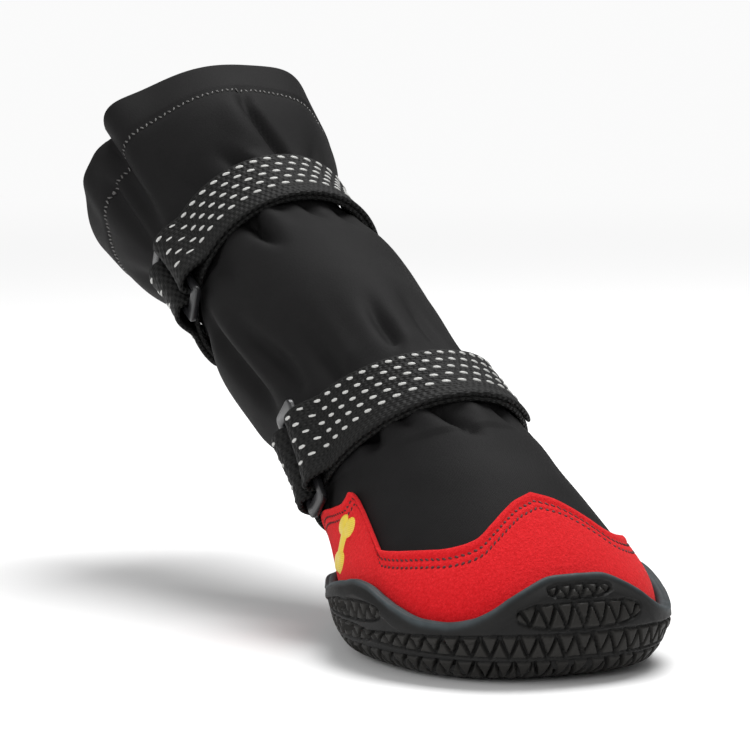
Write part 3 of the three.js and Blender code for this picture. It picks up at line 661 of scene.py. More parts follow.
def makeUpper():
    theta = np.linspace(0, 2 * np.pi, upper["columns"], endpoint=False)
    foot = np.linspace(0, 8, 44, endpoint=False)
    ankle = np.linspace(8, 11, 36, endpoint=False)
    shaft = np.linspace(11, collar, 122)
    atRows = np.concatenate([foot, ankle, shaft])
    p, _, out, _ = surface(theta[None, :], atRows[:, None])
    folds = upperFolds(theta, atRows, p)
    distance = strapDistance(p, atRows, float(collar))
    seam = hump(distance + upper["stitchBelow"], 0.9)
    folds = folds - 0.45 * seam + 0.25 * smooth((distance + upper["stitchBelow"]) / 1.5)
    wall = upper["wall"] + upper["hemExtra"] * smooth((distance + upper["hemWidth"]) / 1.2)
    perUnit = 19.0  # millimetres from the last section but one to the collar

    outer = p + out * folds[..., None]
    inner = p + out * (folds - wall)[..., None]
    outer[0, :, 2] = inner[0, :, 2] = last["footFloor"]
    half = wall[-1] / 2
    cut = len(atRows) - 3
    rings = list(outer[:cut])
    for angle in np.linspace(0, np.pi, 9):
        back = 1.3 * (1 - math.sin(angle))
        centre = surface(theta, collar - back / perUnit)
        lift = folds[-1] - half + half * math.cos(angle)
        rings.append(centre[0] + centre[2] * lift[:, None])
    rimEnd = len(rings)
    rings += list(inner[:cut][::-1][::2])
    rings.append(inner[0])
    points = np.array(rings)

    around = np.linspace(0, 170, upper["columns"] + 1)
    climb = running(np.concatenate([points, points[:1]])).mean(axis=1)
    uv = np.stack(np.broadcast_arrays(around[None, :], climb[:, None]), -1)
    bm = outwards(skinned(points, uv, shell=True, materialOf=lambda j: int(j > rimEnd + 3)))
    piece = finishObject("upper_softshell", bm, [softshell, lining])
    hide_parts("upper")
    return theta, atRows, folds, distance


# A zigzag of black thread on the hem.
def makeCollarStitch(theta, atRows, folds, distance):
    middle = atRows[np.abs(distance + upper["stitchBelow"]).argmin(axis=0)]
    line = surface(theta, middle)[0]
    length = running(np.vstack([line, line[:1]]))
    count = 2 * int(length[-1] / upper["stitchPitch"])
    pitch = length[-1] / count
    spots = [
        ((k + 0.5) * pitch, 0, 0.12, math.radians(64 if k % 2 else -64)) for k in range(count)
    ]
    bm = beads(spots, (0.62, 0.27, 0.24))
    rows = np.arange(len(atRows))

    def mapping(flat):
        angle = np.interp(flat[:, 0] % length[-1], length, np.append(theta, 2 * np.pi))
        column = np.minimum((angle / (2 * np.pi) * len(theta)).astype(int), len(theta) - 1)
        below = flat[:, 1] - upper["stitchBelow"]
        row = np.array([np.interp(y, distance[:, i], rows) for y, i in zip(below, column)])
        lift = np.array([np.interp(r, rows, folds[:, i]) for r, i in zip(row, column)])
        p, _, out, _ = surface(angle, np.interp(row, rows, atRows))
        return p + out * (lift + flat[:, 2])[:, None]

    moveFlat(bm, mapping)
    piece = finishObject("collar_stitch", bm, [greyThread])


collarGrid = makeUpper()
makeCollarStitch(*collarGrid)
print("upper made")

# The rand
rand = {
    "gap": 0.35,
    "wall": 1.2,
    "bead": 2.1,  # width of its folded edge
    "beadLift": 0.3,
    "columns": 420,
    "strapClear": 11.2,  # from the ankle strap's middle
    "rows": [3.0, 5.2],  # of stitches, below the edge
    "pitch": 1.45,
    "plainBelow": 50,  # past the folded edge and the stitches
}


# Where along the sections the rand's edge is. It ends below the ankle strap.
def randTop(theta):
    edge = atHeight(theta, edgeAt("rand", theta))
    full = np.full(len(theta), float(last["ankleStrapAt"]))
    at, length = lengthUp(theta, full)
    low = length[-1] - rand["strapClear"]
    strapLow = [np.interp(low[i], length[:, i], at[:, i]) for i in range(len(theta))]
    gap = np.array(strapLow) - edge
    return edge + np.where(gap < 0.35, gap - 0.35 * np.exp(np.minimum(gap, 0.35) - 0.35), 0)


def randGrid(columns):
    theta = np.linspace(0, 2 * np.pi, columns, endpoint=False)
    return theta, *lengthUp(theta, randTop(theta))


# The section at a distance below the rand's edge, for each column.
def onRand(grid, column, below):
    _, at, length = grid
    return np.interp(length[-1, column] - below, length[:, column], at[:, column])


# Points of the last at distances below the rand's edge, and the way out of it there.
def underEdge(grid, below):
    theta = grid[0]
    below = np.broadcast_to(below, theta.shape)
    place = np.array([onRand(grid, i, below[i]) for i in range(len(theta))])
    p, _, out, _ = surface(theta, place)
    return p, out


def randOffset(below):
    bead = rand["bead"]
    x = np.clip(1 - below / bead, -1, 1)
    lift = rand["beadLift"] * np.sqrt(np.clip(1 - (1 - 2 * np.clip(below / bead, 0, 1)) ** 2, 0, 1))
    groove = sum(0.2 * hump(below - row, 0.5) for row in rand["rows"])
    return rand["gap"] + rand["wall"] * smooth((below + 0.05) / 0.5 + 0.3 * x) + lift - groove


def makeRand():
    grid = randGrid(rand["columns"])
    total = grid[2][-1]
    near = np.concatenate([np.linspace(0, 6, 22), [6.6, 7.5]])
    rings = []
    for below in near:
        p, out = underEdge(grid, np.minimum(below, 0.8 * total))
        rings.append(p + out * randOffset(below))
    for share in np.linspace(0, 1, 26)[1:]:
        p, out = underEdge(grid, near[-1] + share * (total - near[-1]))
        rings.append(p + out * randOffset(rand["plainBelow"]))
    floorRing = len(rings) - 1
    for share in np.linspace(1, 0, 12):
        p, out = underEdge(grid, 0.25 + share * (total - 0.25))
        rings.append(p + out * rand["gap"])
    points = np.array(rings)
    points[floorRing : floorRing + 2, :, 2] = last["footFloor"]
    around = np.linspace(0, 270, rand["columns"] + 1)
    climb = np.arange(len(points) + 1) * 0.8
    uv = np.stack(np.broadcast_arrays(around[None, :], climb[:, None]), -1)
    bm = outwards(skinned(points, uv, shell=True))
    piece = finishObject("rand_felt", bm, [felt])
    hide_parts("rand")
    return grid


# Maps (millimetres round, up, out) on the felt at a distance below its edge.
def randMapping(grid, below0):
    columns = len(grid[0])
    line = underEdge(grid, below0)[0]
    reach = running(np.vstack([line, line[:1]]))

    def mapping(flat):
        place = np.interp(flat[:, 0] % reach[-1], reach, np.arange(columns + 1))
        low = place.astype(int) % columns
        high = (low + 1) % columns
        t = place - place.astype(int)
        ats = np.empty(len(flat))
        for k in range(len(flat)):
            below = below0 - flat[k, 1]
            ats[k] = (1 - t[k]) * onRand(grid, low[k], below) + t[k] * onRand(grid, high[k], below)
        angle = place / columns * 2 * np.pi
        p, _, out, _ = surface(angle, ats)
        lift = np.array([randOffset(below0 - y) for y in flat[:, 1]])
        return p + out * (lift + flat[:, 2])[:, None]

    return reach[-1], mapping


def makeRandStitches(grid):
    for index, below in enumerate(rand["rows"]):
        around, mapping = randMapping(grid, below)
        count = int(around / rand["pitch"])
        pitch = around / count
        turn = math.radians(35 if index else -35)
        spots = [((k + 0.5 * index) * pitch, 0, 0.06, turn) for k in range(count)]
        bm = beads(spots, (0.52, 0.34, 0.16))
        moveFlat(bm, mapping)
        piece = finishObject("rand_stitch_" + str(index + 1), bm, [redThread])


randColumns = makeRand()
makeRandStitches(randColumns)
print("rand made")

# The outsole
sole = {
    "gap": 1.95,
    "wall": 3.0,
    "rimWall": 2.2,
    "floor": 4.5,
    "lip": 11,
    "toeSpring": 4.0,
    "base": 1.4,  # depth of the tread's grooves
    "columns": 960,
    "wallRows": 66,
    "lugSide": 7.0,
    "lugGap": 0.55,
    "lugsBelow": 0.0046,  # metres
    "perSection": 5.6,  # millimetres of wall, about
}

# Rows of lugs round the sole's side: sections, how far round they run from their middle, and the
# grooves' spacing and width in millimetres.
sideRows = [
    {"low": 0.08, "high": 0.88, "centre": 0.0, "reach": 2.0, "pitch": 4.7, "width": 0.35},
    {"low": 0.98, "high": 1.74, "centre": 0.0, "reach": 0.47, "pitch": 4.4, "width": 0.35},
    {"low": 1.84, "high": 2.56, "centre": 0.0, "reach": 0.12, "pitch": 4.3, "width": 0.35},
    {"low": 2.64, "high": 3.06, "centre": 0.0, "reach": 0.058, "pitch": 3.4, "width": 0.3},
    {"low": 1.0, "high": 1.7, "centre": 0.56, "reach": 0.12, "pitch": 4.4, "width": 0.35},
    {"low": 1.84, "high": 2.5, "centre": 0.48, "reach": 0.075, "pitch": 3.8, "width": 0.3},
]


# Depth of the side's grooves under the smooth wall, and how far each point stands proud on a lug.
def sideGrooves(theta, at, perSection, around):
    depth = np.zeros(np.broadcast(theta, at).shape)
    face = np.zeros(depth.shape)
    turn = np.abs(turned(theta)) / np.pi
    for row in sideRows:
        offset = (turn - row["centre"]) / row["reach"]
        shape = np.sqrt(np.clip(1 - offset**2, 0, 1)) ** 0.8
        half = np.maximum((row["high"] - row["low"]) / 2 * shape, 1e-3)
        q = (at - (row["low"] + row["high"]) / 2) / half
        tall = half * perSection
        phase = around / row["pitch"]
        zigzag = 4 * np.abs(phase - np.floor(phase + 0.5)) - 1
        slope = 4 * tall / row["pitch"]
        gap = np.abs(q - zigzag) * tall / np.sqrt(1 + slope**2)
        width = row["width"] * (1 + 0.35 * np.clip(q, -1, 1))
        groove = 1 - smooth((gap - width / 2) / 0.38)
        edge = (1 - np.abs(q)) * tall  # millimetres inside the row
        inside = smooth((edge + 0.35) / 0.35) * smooth((shape - 0.15) / 0.25)
        rim = inside * (1 - smooth((np.abs(edge) - 0.15) / 0.35))
        depth = np.maximum(depth, np.maximum(inside * groove * 1.45, 0.75 * rim))
        face = np.maximum(face, inside * (1 - groove) * (1 - rim))
    return depth, face


def makeCup():
    theta = np.linspace(0, 2 * np.pi, sole["columns"], endpoint=False)
    rim = edgeAt("rim", theta)
    top = atHeight(theta, rim)
    skin = sole["gap"] + sole["wall"]

    def ring(share, offset):
        p, _, out, _ = surface(theta, share * top)
        return p + out * np.reshape(offset, (-1, 1))

    spring = sole["toeSpring"] * np.maximum(np.cos(theta), 0) ** 2
    flat = onSection(theta, 2.0).copy()
    flat[:, 0] *= (halfLength + last["stack"] - sole["lip"] - spring) / halfLength
    flat[:, 1] *= (halfWidth + last["stack"] - sole["lip"]) / halfWidth
    flat[:, 2] = 0

    belt = ring(0.4, skin)
    arc = np.linalg.norm(np.roll(belt, -1, axis=0) - belt, axis=1)
    around = np.concatenate([[0], np.cumsum(arc)])[:-1]
    around = np.where(theta < np.pi, around, around - arc.sum())

    # The smooth flange below the rim stands out a little, with a lip at its top
    def wallAt(at):
        share = at / top
        thin = smooth((share - 0.8) / 0.2)
        fromRim = (top - at) * sole["perSection"]
        flange = 0.35 * (1 - smooth((fromRim - 3.4) / 0.6)) * smooth((fromRim + 0.2) / 0.8)
        lip = 0.35 * hump(fromRim - 0.7, 0.5)
        return sole["gap"] + sole["wall"] + (sole["rimWall"] - sole["wall"]) * thin + lip + flange

    nominal = []
    foot = ring(0.2, skin)
    knee = ring(0.0, skin)
    corner = knee.copy()
    corner[:, 2] = 0.5
    for t in np.linspace(0, 1, 16)[:-1]:
        a, b = (1 - t) ** 2, 2 * t * (1 - t)
        nominal.append(a * flat + b * (0.45 * knee + 0.55 * corner) + t**2 * foot)
    shares = [0.2] + list(np.linspace(0.2, 0.985, sole["wallRows"])[1:])
    for share in shares:
        nominal.append(ring(share, wallAt(share * top)))
    nominal = np.array(nominal)
    footRows = len(nominal) - len(shares)

    # Outwards from the smooth wall, for the grooves
    dAround = np.roll(nominal, -1, axis=1) - np.roll(nominal, 1, axis=1)
    normal = unit(np.cross(dAround, np.gradient(nominal, axis=0)))
    share = np.concatenate([np.linspace(0, 0.2, footRows, endpoint=False), shares])[:, None]
    at = share * top[None, :]
    perSection = np.linalg.norm(np.gradient(nominal, axis=0), axis=-1) / np.gradient(at, axis=0)
    middle = perSection[footRows + 8][None, :]
    cut, face = sideGrooves(theta[None, :], at, middle, around[None, :])
    under = sole["base"] * (1 - smooth((share - 0.02) / 0.03))
    points = nominal - normal * np.maximum(cut, under)[..., None]
    # Where the rim's painted highlight goes: along the lip just below the rim.
    rimHighlightMark = hump((top[None, :] - at) * sole["perSection"] - 0.5, 0.55)

    bottom = []
    for t in (0, 0.35, 0.7, 0.9):
        disk = points[0] * t
        disk[:, 2] = sole["base"]
        bottom.append(disk)
    rimRings = []
    p, _, out, up = surface(theta, top)
    half = sole["rimWall"] / 2
    for angle in np.linspace(0.35, np.pi - 0.2, 7):
        lift = sole["gap"] + half * (1 + math.cos(angle))
        rimRings.append(p + out * lift + up * 0.8 * (math.sin(angle) - 1))
    inner = [ring(s, sole["gap"] - 0.35) for s in (0.9, 0.7, 0.5, 0.3, 0.12)]
    end = ring(0.0, sole["gap"] - 0.35)
    end[:, 2] = sole["floor"]
    inner += [end, end * np.array([0.5, 0.5, 1]), end * np.array([0, 0, 1])]
    rows = bottom + list(points) + rimRings + inner
    padding = ((len(bottom), len(rimRings) + len(inner)), (0, 0))
    # Marks for the rubber's colour: the rim's painted highlight, and the lug faces, which are
    # coloured lighter than the grooves.
    marks = {"lip": np.pad(rimHighlightMark, padding), "lugFace": np.pad(face, padding)}
    # The rounded top of the rim gets the painted highlight too.
    marks["lip"][-len(rimRings) - len(inner) : -len(inner)] = 0.8
    bm = outwards(skinned(np.array(rows), marks=marks))
    piece = finishObject("outsole_rubber", bm, [rubber])
    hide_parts("outsole")

    # The smooth underside, which the lugs stand on
    middle = [nominal[0] * t * np.array([1, 1, 0]) for t in (0, 0.5)]
    under = outwards(skinned(np.array(middle + list(nominal[: footRows + 3]))))
    tree = BVHTree.FromBMesh(under)
    under.free()
    return tree


insert = {
    "length": 10.2,
    "width": 22.6,
    "corner": 2.4,
    "land": 2.5,
    "gap": 0.3,
    "centre": last["soleLength"] * (0.5 - 0.83),
}


# A closed loop of edges, as a rounded rectangle about the insert's centre.
def roundedRing(bm, length, width, corner, z):
    made = bmesh.ops.create_circle(bm, cap_ends=False, segments=48, radius=1)["verts"]
    a, b = length / 2 - corner, width / 2 - corner
    for v in made:
        angle = math.atan2(v.co.y, v.co.x)
        x = corner * math.cos(angle) + math.copysign(a, math.cos(angle))
        y = corner * math.sin(angle) + math.copysign(b, math.sin(angle))
        v.co = (insert["centre"] + x, y, z)
    return [e for v in made for e in v.link_edges if all(w in made for w in e.verts)]


# The plain rubber frame round the insert.
def makeLand(tree):
    bm = bmesh.new()
    outer = (insert["length"] + 2 * insert["land"], insert["width"] + 2 * insert["land"], 4.2)
    inner = (insert["length"] + 2 * insert["gap"], insert["width"] + 2 * insert["gap"], 2.7)
    profile = [(outer, 0, 1.7), (outer, 0, 0.5), (outer, -0.5, 0.0)]
    profile += [(inner, 0.4, 0.0), (inner, 0, 0.4), (inner, 0, 1.7)]
    loops = [
        list(set(roundedRing(bm, size[0] + 2 * grow, size[1] + 2 * grow, size[2] + grow, z)))
        for size, grow, z in profile
    ]
    for a, b in zip(loops, loops[1:] + loops[:1]):
        bmesh.ops.bridge_loops(bm, edges=a + b)
    for v in bm.verts:
        hit = tree.ray_cast(Vector((v.co.x, v.co.y, -20)) * 0.001, Vector((0, 0, 1)))[0]
        v.co *= 0.001
        if hit is not None:
            v.co.z += hit.z
    piece = finishObject("insert_frame", outwards(bm), [rubber], smoothShade=False)


# Triangular lugs on the underside, at the real sole's spacing.
def makeTread(tree):
    side, gap = sole["lugSide"], sole["lugGap"]
    step = side * math.cos(math.pi / 6)
    radius = side / math.sqrt(3) - gap
    bm = bmesh.new()
    up = Vector((0, 0, 1))
    landX = insert["length"] / 2 + insert["land"] + 0.6
    landY = insert["width"] / 2 + insert["land"] + 0.6
    count = 0
    for i in range(-10, 11):
        for j in range(-8, 9):
            for turn, dx, dy in ((0, 0, 0), (math.pi, -step / 3, side / 2)):
                x = i * step + dx
                y = (j + (0.5 if i % 2 else 0)) * side + dy
                if abs(x - insert["centre"]) < landX and abs(y) < landY:
                    continue
                hit = tree.ray_cast(Vector((x, y, -20)) * 0.001, up)[0]
                if hit is None or hit.z > sole["lugsBelow"]:
                    continue
                place = Matrix.Translation((x, y, 1)) @ Matrix.Rotation(turn, 4, "Z")
                size = {"radius1": radius - 0.15, "radius2": radius + 0.35, "depth": 2.0}
                bmesh.ops.create_cone(bm, cap_ends=True, segments=3, matrix=place, **size)
                count += 1
    bmesh.ops.bevel(
        bm, geom=bm.edges[:], offset=0.28, affect="EDGES", segments=2, profile=0.5, material=-1
    )
    for v in bm.verts:
        x, y, z = v.co
        hit = tree.ray_cast(Vector((x, y, -20)) * 0.001, up)[0]
        if hit is None:
            v.co = tree.find_nearest(Vector((x, y, 5)) * 0.001)[0] + up * z * 0.0005
            continue
        v.co = Vector((x * 0.001, y * 0.001, hit.z + (z + 0.02) * 0.001))
    bmesh.ops.triangulate(bm, faces=[f for f in bm.faces if len(f.verts) > 4])
    piece = finishObject("tread_lugs", outwards(bm), [rubber], smoothShade=False)
    print("tread lugs:", count)


underside = makeCup()
makeTread(underside)
makeLand(underside)
print("outsole made")


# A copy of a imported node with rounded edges, in its place.
def fromNode(node, name, materials, width):
    bm = bmesh.new()
    bm.from_mesh(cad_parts[node].data)
    bmesh.ops.remove_doubles(bm, verts=bm.verts, dist=2e-6)
    bmesh.ops.dissolve_limit(bm, angle_limit=math.radians(2), verts=bm.verts, edges=bm.edges)
    sharp = [e for e in bm.edges if len(e.link_faces) == 2 and e.calc_face_angle() > 0.6]
    bevel = {"affect": "EDGES", "segments": 3, "profile": 0.5, "material": -1}
    bmesh.ops.bevel(bm, geom=sharp, offset=width * 0.001, **bevel)
    piece = finishObject(name, outwards(bm), materials)
    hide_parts(node)


fromNode("sole_insert", "insert_plate", [insertPlastic], 0.35)
fromNode("insole", "insole_pad", [footbed], 0.5)
for strapName in ("lower", "upper"):
    fromNode(strapName + "_ring", strapName + "_loop", [plastic], 0.45)

# The straps
strap = {
    "width": 20,
    "thick": 1.3,
    "elastic": 1.6,
    "ribPitch": 1.35,
    "clearance": 0.3,
    "barWidth": 2.2,
    "barThick": 1.6,
    "span": 8,
    "foldFlat": 2,
    "foldSlope": 6,
    "rows": [8.2, 5.1, 2.0, -1.1, -4.2],  # of reflective dashes, across the webbing
    "dashPitch": 3.3,
    "dash": (0.98, 0.5, 0.34),
    "ring": 0.53,  # of the way round to the back, on the right
    "start": -0.53,
    "tabEnd": 0.82,
}
strapPlan = [
    {"name": "lower", "at": last["ankleStrapAt"], "tail": -0.24},
    {"name": "upper", "at": last["collarStrapAt"], "tail": -0.34},
]
layerLow = 2 * strap["clearance"]
layerHigh = layerLow + strap["thick"]
windowLow = layerHigh + strap["clearance"]
barRoom = strap["barWidth"] / 2 + strap["clearance"]


# Angles for lengths round a section, from its top, with the boot's right side positive.
def strapPath(at):
    steps = 720
    theta = np.linspace(-np.pi, np.pi, steps + 1)
    length = running(surface(theta, float(at))[0])
    length -= length[steps // 2]
    return {"at": float(at), "length": -length[::-1], "theta": theta[::-1], "whole": np.ptp(length)}


def angleOn(path, length):
    low = path["length"][0]
    turns = np.floor((length - low) / path["whole"])
    inside = length - turns * path["whole"]
    return np.interp(inside, path["length"], path["theta"]) - 2 * np.pi * turns


# How much the upper rises over a strap's flat seat, at a distance across it.
def seatRise(path, theta, across):
    p0, around, out, up = surface(theta, path["at"])
    step = 0.05
    turn, height = theta.copy(), np.full(theta.shape, path["at"])
    dot = lambda a, b: (a * b).sum(-1)
    for _ in range(5):
        here = surface(turn, height)[0] - p0
        climb = dot(surface(turn, height + step)[0] - p0 - here, up) / step
        sweep = dot(surface(turn + step, height)[0] - p0 - here, around) / step
        height = height + (across - dot(here, up)) / climb
        turn = turn - dot(here, around) / sweep
    return np.maximum(dot(surface(turn, height)[0] - p0, out), 0)


# Flat (along, across, height) to the boot. The strap cups across its width.
def layOn(path, flat):
    theta = angleOn(path, flat[:, 0])
    p, _, out, up = surface(theta, path["at"])
    lifted = flat[:, 2] + seatRise(path, theta, flat[:, 1])
    return p + out * lifted[:, None] + up * flat[:, 1:2]


def ringSeat(path, ringPlace):
    half = strap["span"] / 2
    radius = path["whole"] / (2 * math.pi)
    places = angleOn(path, ringPlace + np.array([-half, -half, 0, 0, half, half]))
    edges = np.array([-1, 1, -1, 1, -1, 1]) * strap["width"] / 2
    low = windowLow + seatRise(path, places, edges).max() + strap["clearance"]
    reach = radius * math.atan(half / (radius + low + strap["barThick"] / 2))
    top = low + strap["barThick"] + 3 * strap["clearance"] + strap["thick"]
    return {"low": low, "top": top, "near": ringPlace - reach, "far": ringPlace + reach}


# Round a strap's cross-section: across, and a share of half its thickness.
def webbingLoop(width, thick):
    side = width / 2 - thick * 0.45
    top = np.linspace(-side, side, 41)
    ripple = 1 + 0.1 * np.cos((top - 1.4) / 3.4 * 2 * np.pi)
    bend = np.radians([-60, -20, 20, 60])
    right = [(side + thick * 0.45 * math.cos(a), -math.sin(a)) for a in bend]
    left = [(-side - thick * 0.45 * math.cos(a), math.sin(a)) for a in bend]
    loop = list(zip(top, ripple)) + right + list(zip(top[::-1], -ripple[::-1])) + left
    return np.array(loop)


# A band along a centre line of (along, height) points, laid on the boot.
def sweepStrap(name, path, centre, width, thick, material, slot, ribs=0.0):
    length = running(centre)
    count = max(int(length[-1] / 0.62), 4)
    s = np.linspace(0, length[-1], count)
    a = np.interp(s, length, centre[:, 0])
    h = np.interp(s, length, centre[:, 1])
    ta, th = np.gradient(a), np.gradient(h)
    size = np.hypot(ta, th)
    na, nh = -th / size, ta / size
    if ta[count // 8] < 0:
        na, nh = -na, -nh
    loop = webbingLoop(width, thick)
    wave = 1 + ribs * np.sin(s / strap["ribPitch"] * 2 * np.pi)
    endTaper = 1 - 0.25 * np.exp(-np.minimum(s, length[-1] - s) / 0.35)
    lift = loop[None, :, 1] * (thick / 2) * (wave * endTaper)[:, None]
    flat = np.stack(
        [
            a[:, None] + na[:, None] * lift,
            np.broadcast_to(loop[None, :, 0], lift.shape),
            h[:, None] + nh[:, None] * lift,
        ],
        -1,
    )
    points = layOn(path, flat.reshape(-1, 3)).reshape(flat.shape)
    around = running(loop * [1, thick / 2])
    around = np.append(around, around[-1] + 0.6)
    uv = np.stack(np.broadcast_arrays(s[:, None], around[None, :]), -1)
    bm = skinned(points, uv)
    bmesh.ops.holes_fill(bm, edges=[e for e in bm.edges if e.is_boundary], sides=0)
    piece = finishObject(name, outwards(bm), [material])
    return piece


# Stitches on a strap, at the height of its top.
def sewOn(name, path, spots, half, heightAt, thread):
    bm = beads(spots, half)

    def mapping(flat):
        flat = flat.copy()
        flat[:, 2] += heightAt(flat[:, 0])
        return layOn(path, flat)

    moveFlat(bm, mapping)
    piece = finishObject(name, outwards(bm), [thread])


# Slanted reflective dashes woven into the webbing, in staggered rows.
def makeDashes(name, path, start, end, heightAt, shift):
    pitch = strap["dashPitch"]
    spots = []
    for index, row in enumerate(strap["rows"]):
        first = start + 1.6 + ((index * 0.5 + shift) % 1) * pitch
        for along in np.arange(first, end - 1.3, pitch):
            spots.append((along, row, 0.02, math.radians(22)))
    sewOn(name, path, spots, strap["dash"], heightAt, reflective)


# Rows of black thread straight across the webbing.
def makeBarStitches(name, path, places, heightAt):
    rows = np.arange(-8.2, 8.3, 2.05)
    spots = [(along, across, 0.05, math.pi / 2) for along in places for across in rows]
    sewOn(name, path, spots, (0.8, 0.24, 0.2), heightAt, blackThread)


def makeStrap(plan):
    name = plan["name"]
    path = strapPath(plan["at"])
    half = path["whole"] / 2
    seat = ringSeat(path, strap["ring"] * half)
    thick = strap["thick"]
    low = layerLow + thick / 2
    high = layerHigh + thick / 2 + 0.06
    top = seat["top"] - thick / 2
    reach = barRoom + thick / 2
    start, tail, tabEnd = strap["start"] * half, plan["tail"] * half, strap["tabEnd"] * half
    turn = np.radians(np.linspace(-90, 90, 13))
    flatEnd, slopeEnd = strap["foldFlat"], strap["foldFlat"] + strap["foldSlope"]

    def fold(bar, sense):
        a = bar + sense * reach * np.cos(turn)
        h = (low + top) / 2 + (top - low) / 2 * np.sin(turn)
        return list(zip(a, h))

    # From the fold's top down to the layer below, and on to the free end.
    def settle(bar, sense, end):
        x = np.linspace(0, 1, 9)
        a = bar - sense * (flatEnd * 0.5 + x * (slopeEnd - flatEnd * 0.5))
        h = top + (high - top) * smooth(x)
        return list(zip(a, h)) + [(end, high)]

    near, far = seat["near"], seat["far"]
    centre = [(start, low)] + fold(near, 1) + settle(near, 1, tail)
    layer = (strap["width"], thick, webbing, "webbing")
    main = sweepStrap(name + "_webbing", path, np.array(centre), *layer)
    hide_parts(name + "_strap")
    centre = [(tabEnd, low)] + fold(far, -1) + settle(far, -1, tabEnd)
    tab = sweepStrap(name + "_tab", path, np.array(centre), *layer)
    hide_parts(name + "_ring_tab")

    mid = layerLow + strap["elastic"] / 2
    centre = [(tabEnd + 0.3, mid), (path["whole"] + start - 0.3, mid)]
    layer = (strap["width"] - 1, strap["elastic"] * 0.85, elastic, "elastic")
    band = sweepStrap(name + "_stretch", path, np.array(centre), *layer, ribs=0.16)
    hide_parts(name + "_elastic")

    # Height of the webbing's top where it settles away from a bar.
    def over(bar, sense):
        def heightAt(along):
            x = (sense * (bar - along) - flatEnd * 0.5) / (slopeEnd - flatEnd * 0.5)
            return top + (high - top) * smooth(x) + thick / 2

        return heightAt

    def overFirst(along):
        return np.full(np.shape(along), layerHigh)

    overTail, overTab = over(near, 1), over(far, -1)

    makeDashes(name + "_dashes_tail", path, tail, near + 0.8, overTail, 0.2)
    makeDashes(name + "_dashes_first", path, start, tail - 0.4, overFirst, 0.6)
    makeDashes(name + "_dashes_tab", path, far - 1.6, tabEnd, overTab, 0.35)
    makeBarStitches(name + "_tab_stitch", path, [tabEnd - 1.4, tabEnd - 3.4], overTab)
    makeBarStitches(name + "_start_stitch", path, [start + 1.4, start + 3.4], overFirst)


for plan in strapPlan:
    makeStrap(plan)
print("straps made")

# A sewn badge on each side of the rand: a plain bone
badge = {
    "angle": 96,  # degrees from the toe
    "height": 24.6,
    "length": 13.4,
    "lobe": 2.5,
    "waist": 1.75,
    "lift": 0.8,
    "skirt": 0.0004,  # metres that its edge goes down into the felt
}


# Distance outside the bone's outline, below 0 inside.
def boneField(x, y):
    end = badge["length"] / 2 - badge["lobe"]
    ax, ay = np.abs(x), np.abs(y)
    lobes = np.hypot(ax - end, ay - badge["lobe"] * 0.82) - badge["lobe"]
    bar = np.maximum(ay - badge["waist"], ax - end)
    k = 0.9
    h = np.clip(0.5 + 0.5 * (bar - lobes) / k, 0, 1)
    return bar * (1 - h) + lobes * h - k * h * (1 - h)


def makeBadge(name, side):
    bm = bmesh.new()
    size = badge["length"] / 2 + 1
    bmesh.ops.create_grid(bm, x_segments=92, y_segments=60, size=1)
    for v in bm.verts:
        v.co = (v.co.x * size, v.co.y * 5.8, 0)
    outside = [f for f in bm.faces if all(boneField(v.co.x, v.co.y) > 0 for v in f.verts)]
    bmesh.ops.delete(bm, geom=outside, context="FACES")
    uvLayer = bm.loops.layers.uv.new("lay")
    for v in bm.verts:
        x, y = v.co.x, v.co.y
        for _ in range(4):
            d = boneField(x, y)
            if not v.is_boundary and d < 0:
                break
            gx = (boneField(x + 0.01, y) - boneField(x - 0.01, y)) / 0.02
            gy = (boneField(x, y + 0.01) - boneField(x, y - 0.01)) / 0.02
            x -= d * gx
            y -= d * gy
        v.co.x, v.co.y = x, y
    for loop in (loop for f in bm.faces for loop in f.loops):
        loop[uvLayer].uv = loop.vert.co.xy
    for v in bm.verts:
        depth = max(-boneField(v.co.x, v.co.y), 0)
        dome = 1 - math.exp(-depth / 0.55)
        thread = 0.05 * math.sin(v.co.x / 0.42 * 2 * math.pi) * min(depth / 0.4, 1)
        v.co.z = badge["lift"] * dome + thread - 0.1
    angle = np.array(math.radians(side * badge["angle"]))
    at = atHeight(np.array([angle]), badge["height"])[0]
    centre, _, out, _ = surface(angle, at)
    tall = unit(np.array([0, 0, 1]) - out[2] * out)
    wide = np.cross(tall, out)

    # Straight across the badge's middle, and onto the felt along its own outward line
    def mapping(flat):
        turn, height = np.full(len(flat), angle), np.full(len(flat), at)
        for _ in range(6):
            here = surface(turn, height)[0]
            byTurn = (surface(turn + 0.01, height)[0] - here) / 0.01
            byHeight = (surface(turn, height + 0.01)[0] - here) / 0.01
            gap = flat[:, 1:2] * wide + flat[:, 0:1] * tall - (here - centre)
            a, b, c, d = byTurn @ wide, byHeight @ wide, byTurn @ tall, byHeight @ tall
            u, v = gap @ wide, gap @ tall
            turn = turn + (u * d - v * b) / (a * d - b * c)
            height = height + (a * v - c * u) / (a * d - b * c)
        p, _, n, _ = surface(turn, height)
        return p + n * (rand["gap"] + rand["wall"] + flat[:, 2])[:, None]

    moveFlat(bm, mapping)
    outDirection = Vector(out)
    if sum(f.normal.dot(outDirection) for f in bm.faces) < 0:
        bmesh.ops.reverse_faces(bm, faces=bm.faces)
    skirt = bmesh.ops.extrude_edge_only(bm, edges=[e for e in bm.edges if e.is_boundary])
    for v in (v for v in skirt["geom"] if isinstance(v, bmesh.types.BMVert)):
        v.co -= outDirection * badge["skirt"]
    piece = finishObject(name, bm, [satin])


makeBadge("badge_right", -1)
makeBadge("badge_left", 1)
print("badges made")

# Floor, light and camera
studio = {
    "azimuth": 63,
    "distance": 1.030,
    "height": 0.184,
    "aimRight": (300 - 361) / 2472,
    "aimDown": (385 - 98) / 2472,
    "lens": 215.4,
}


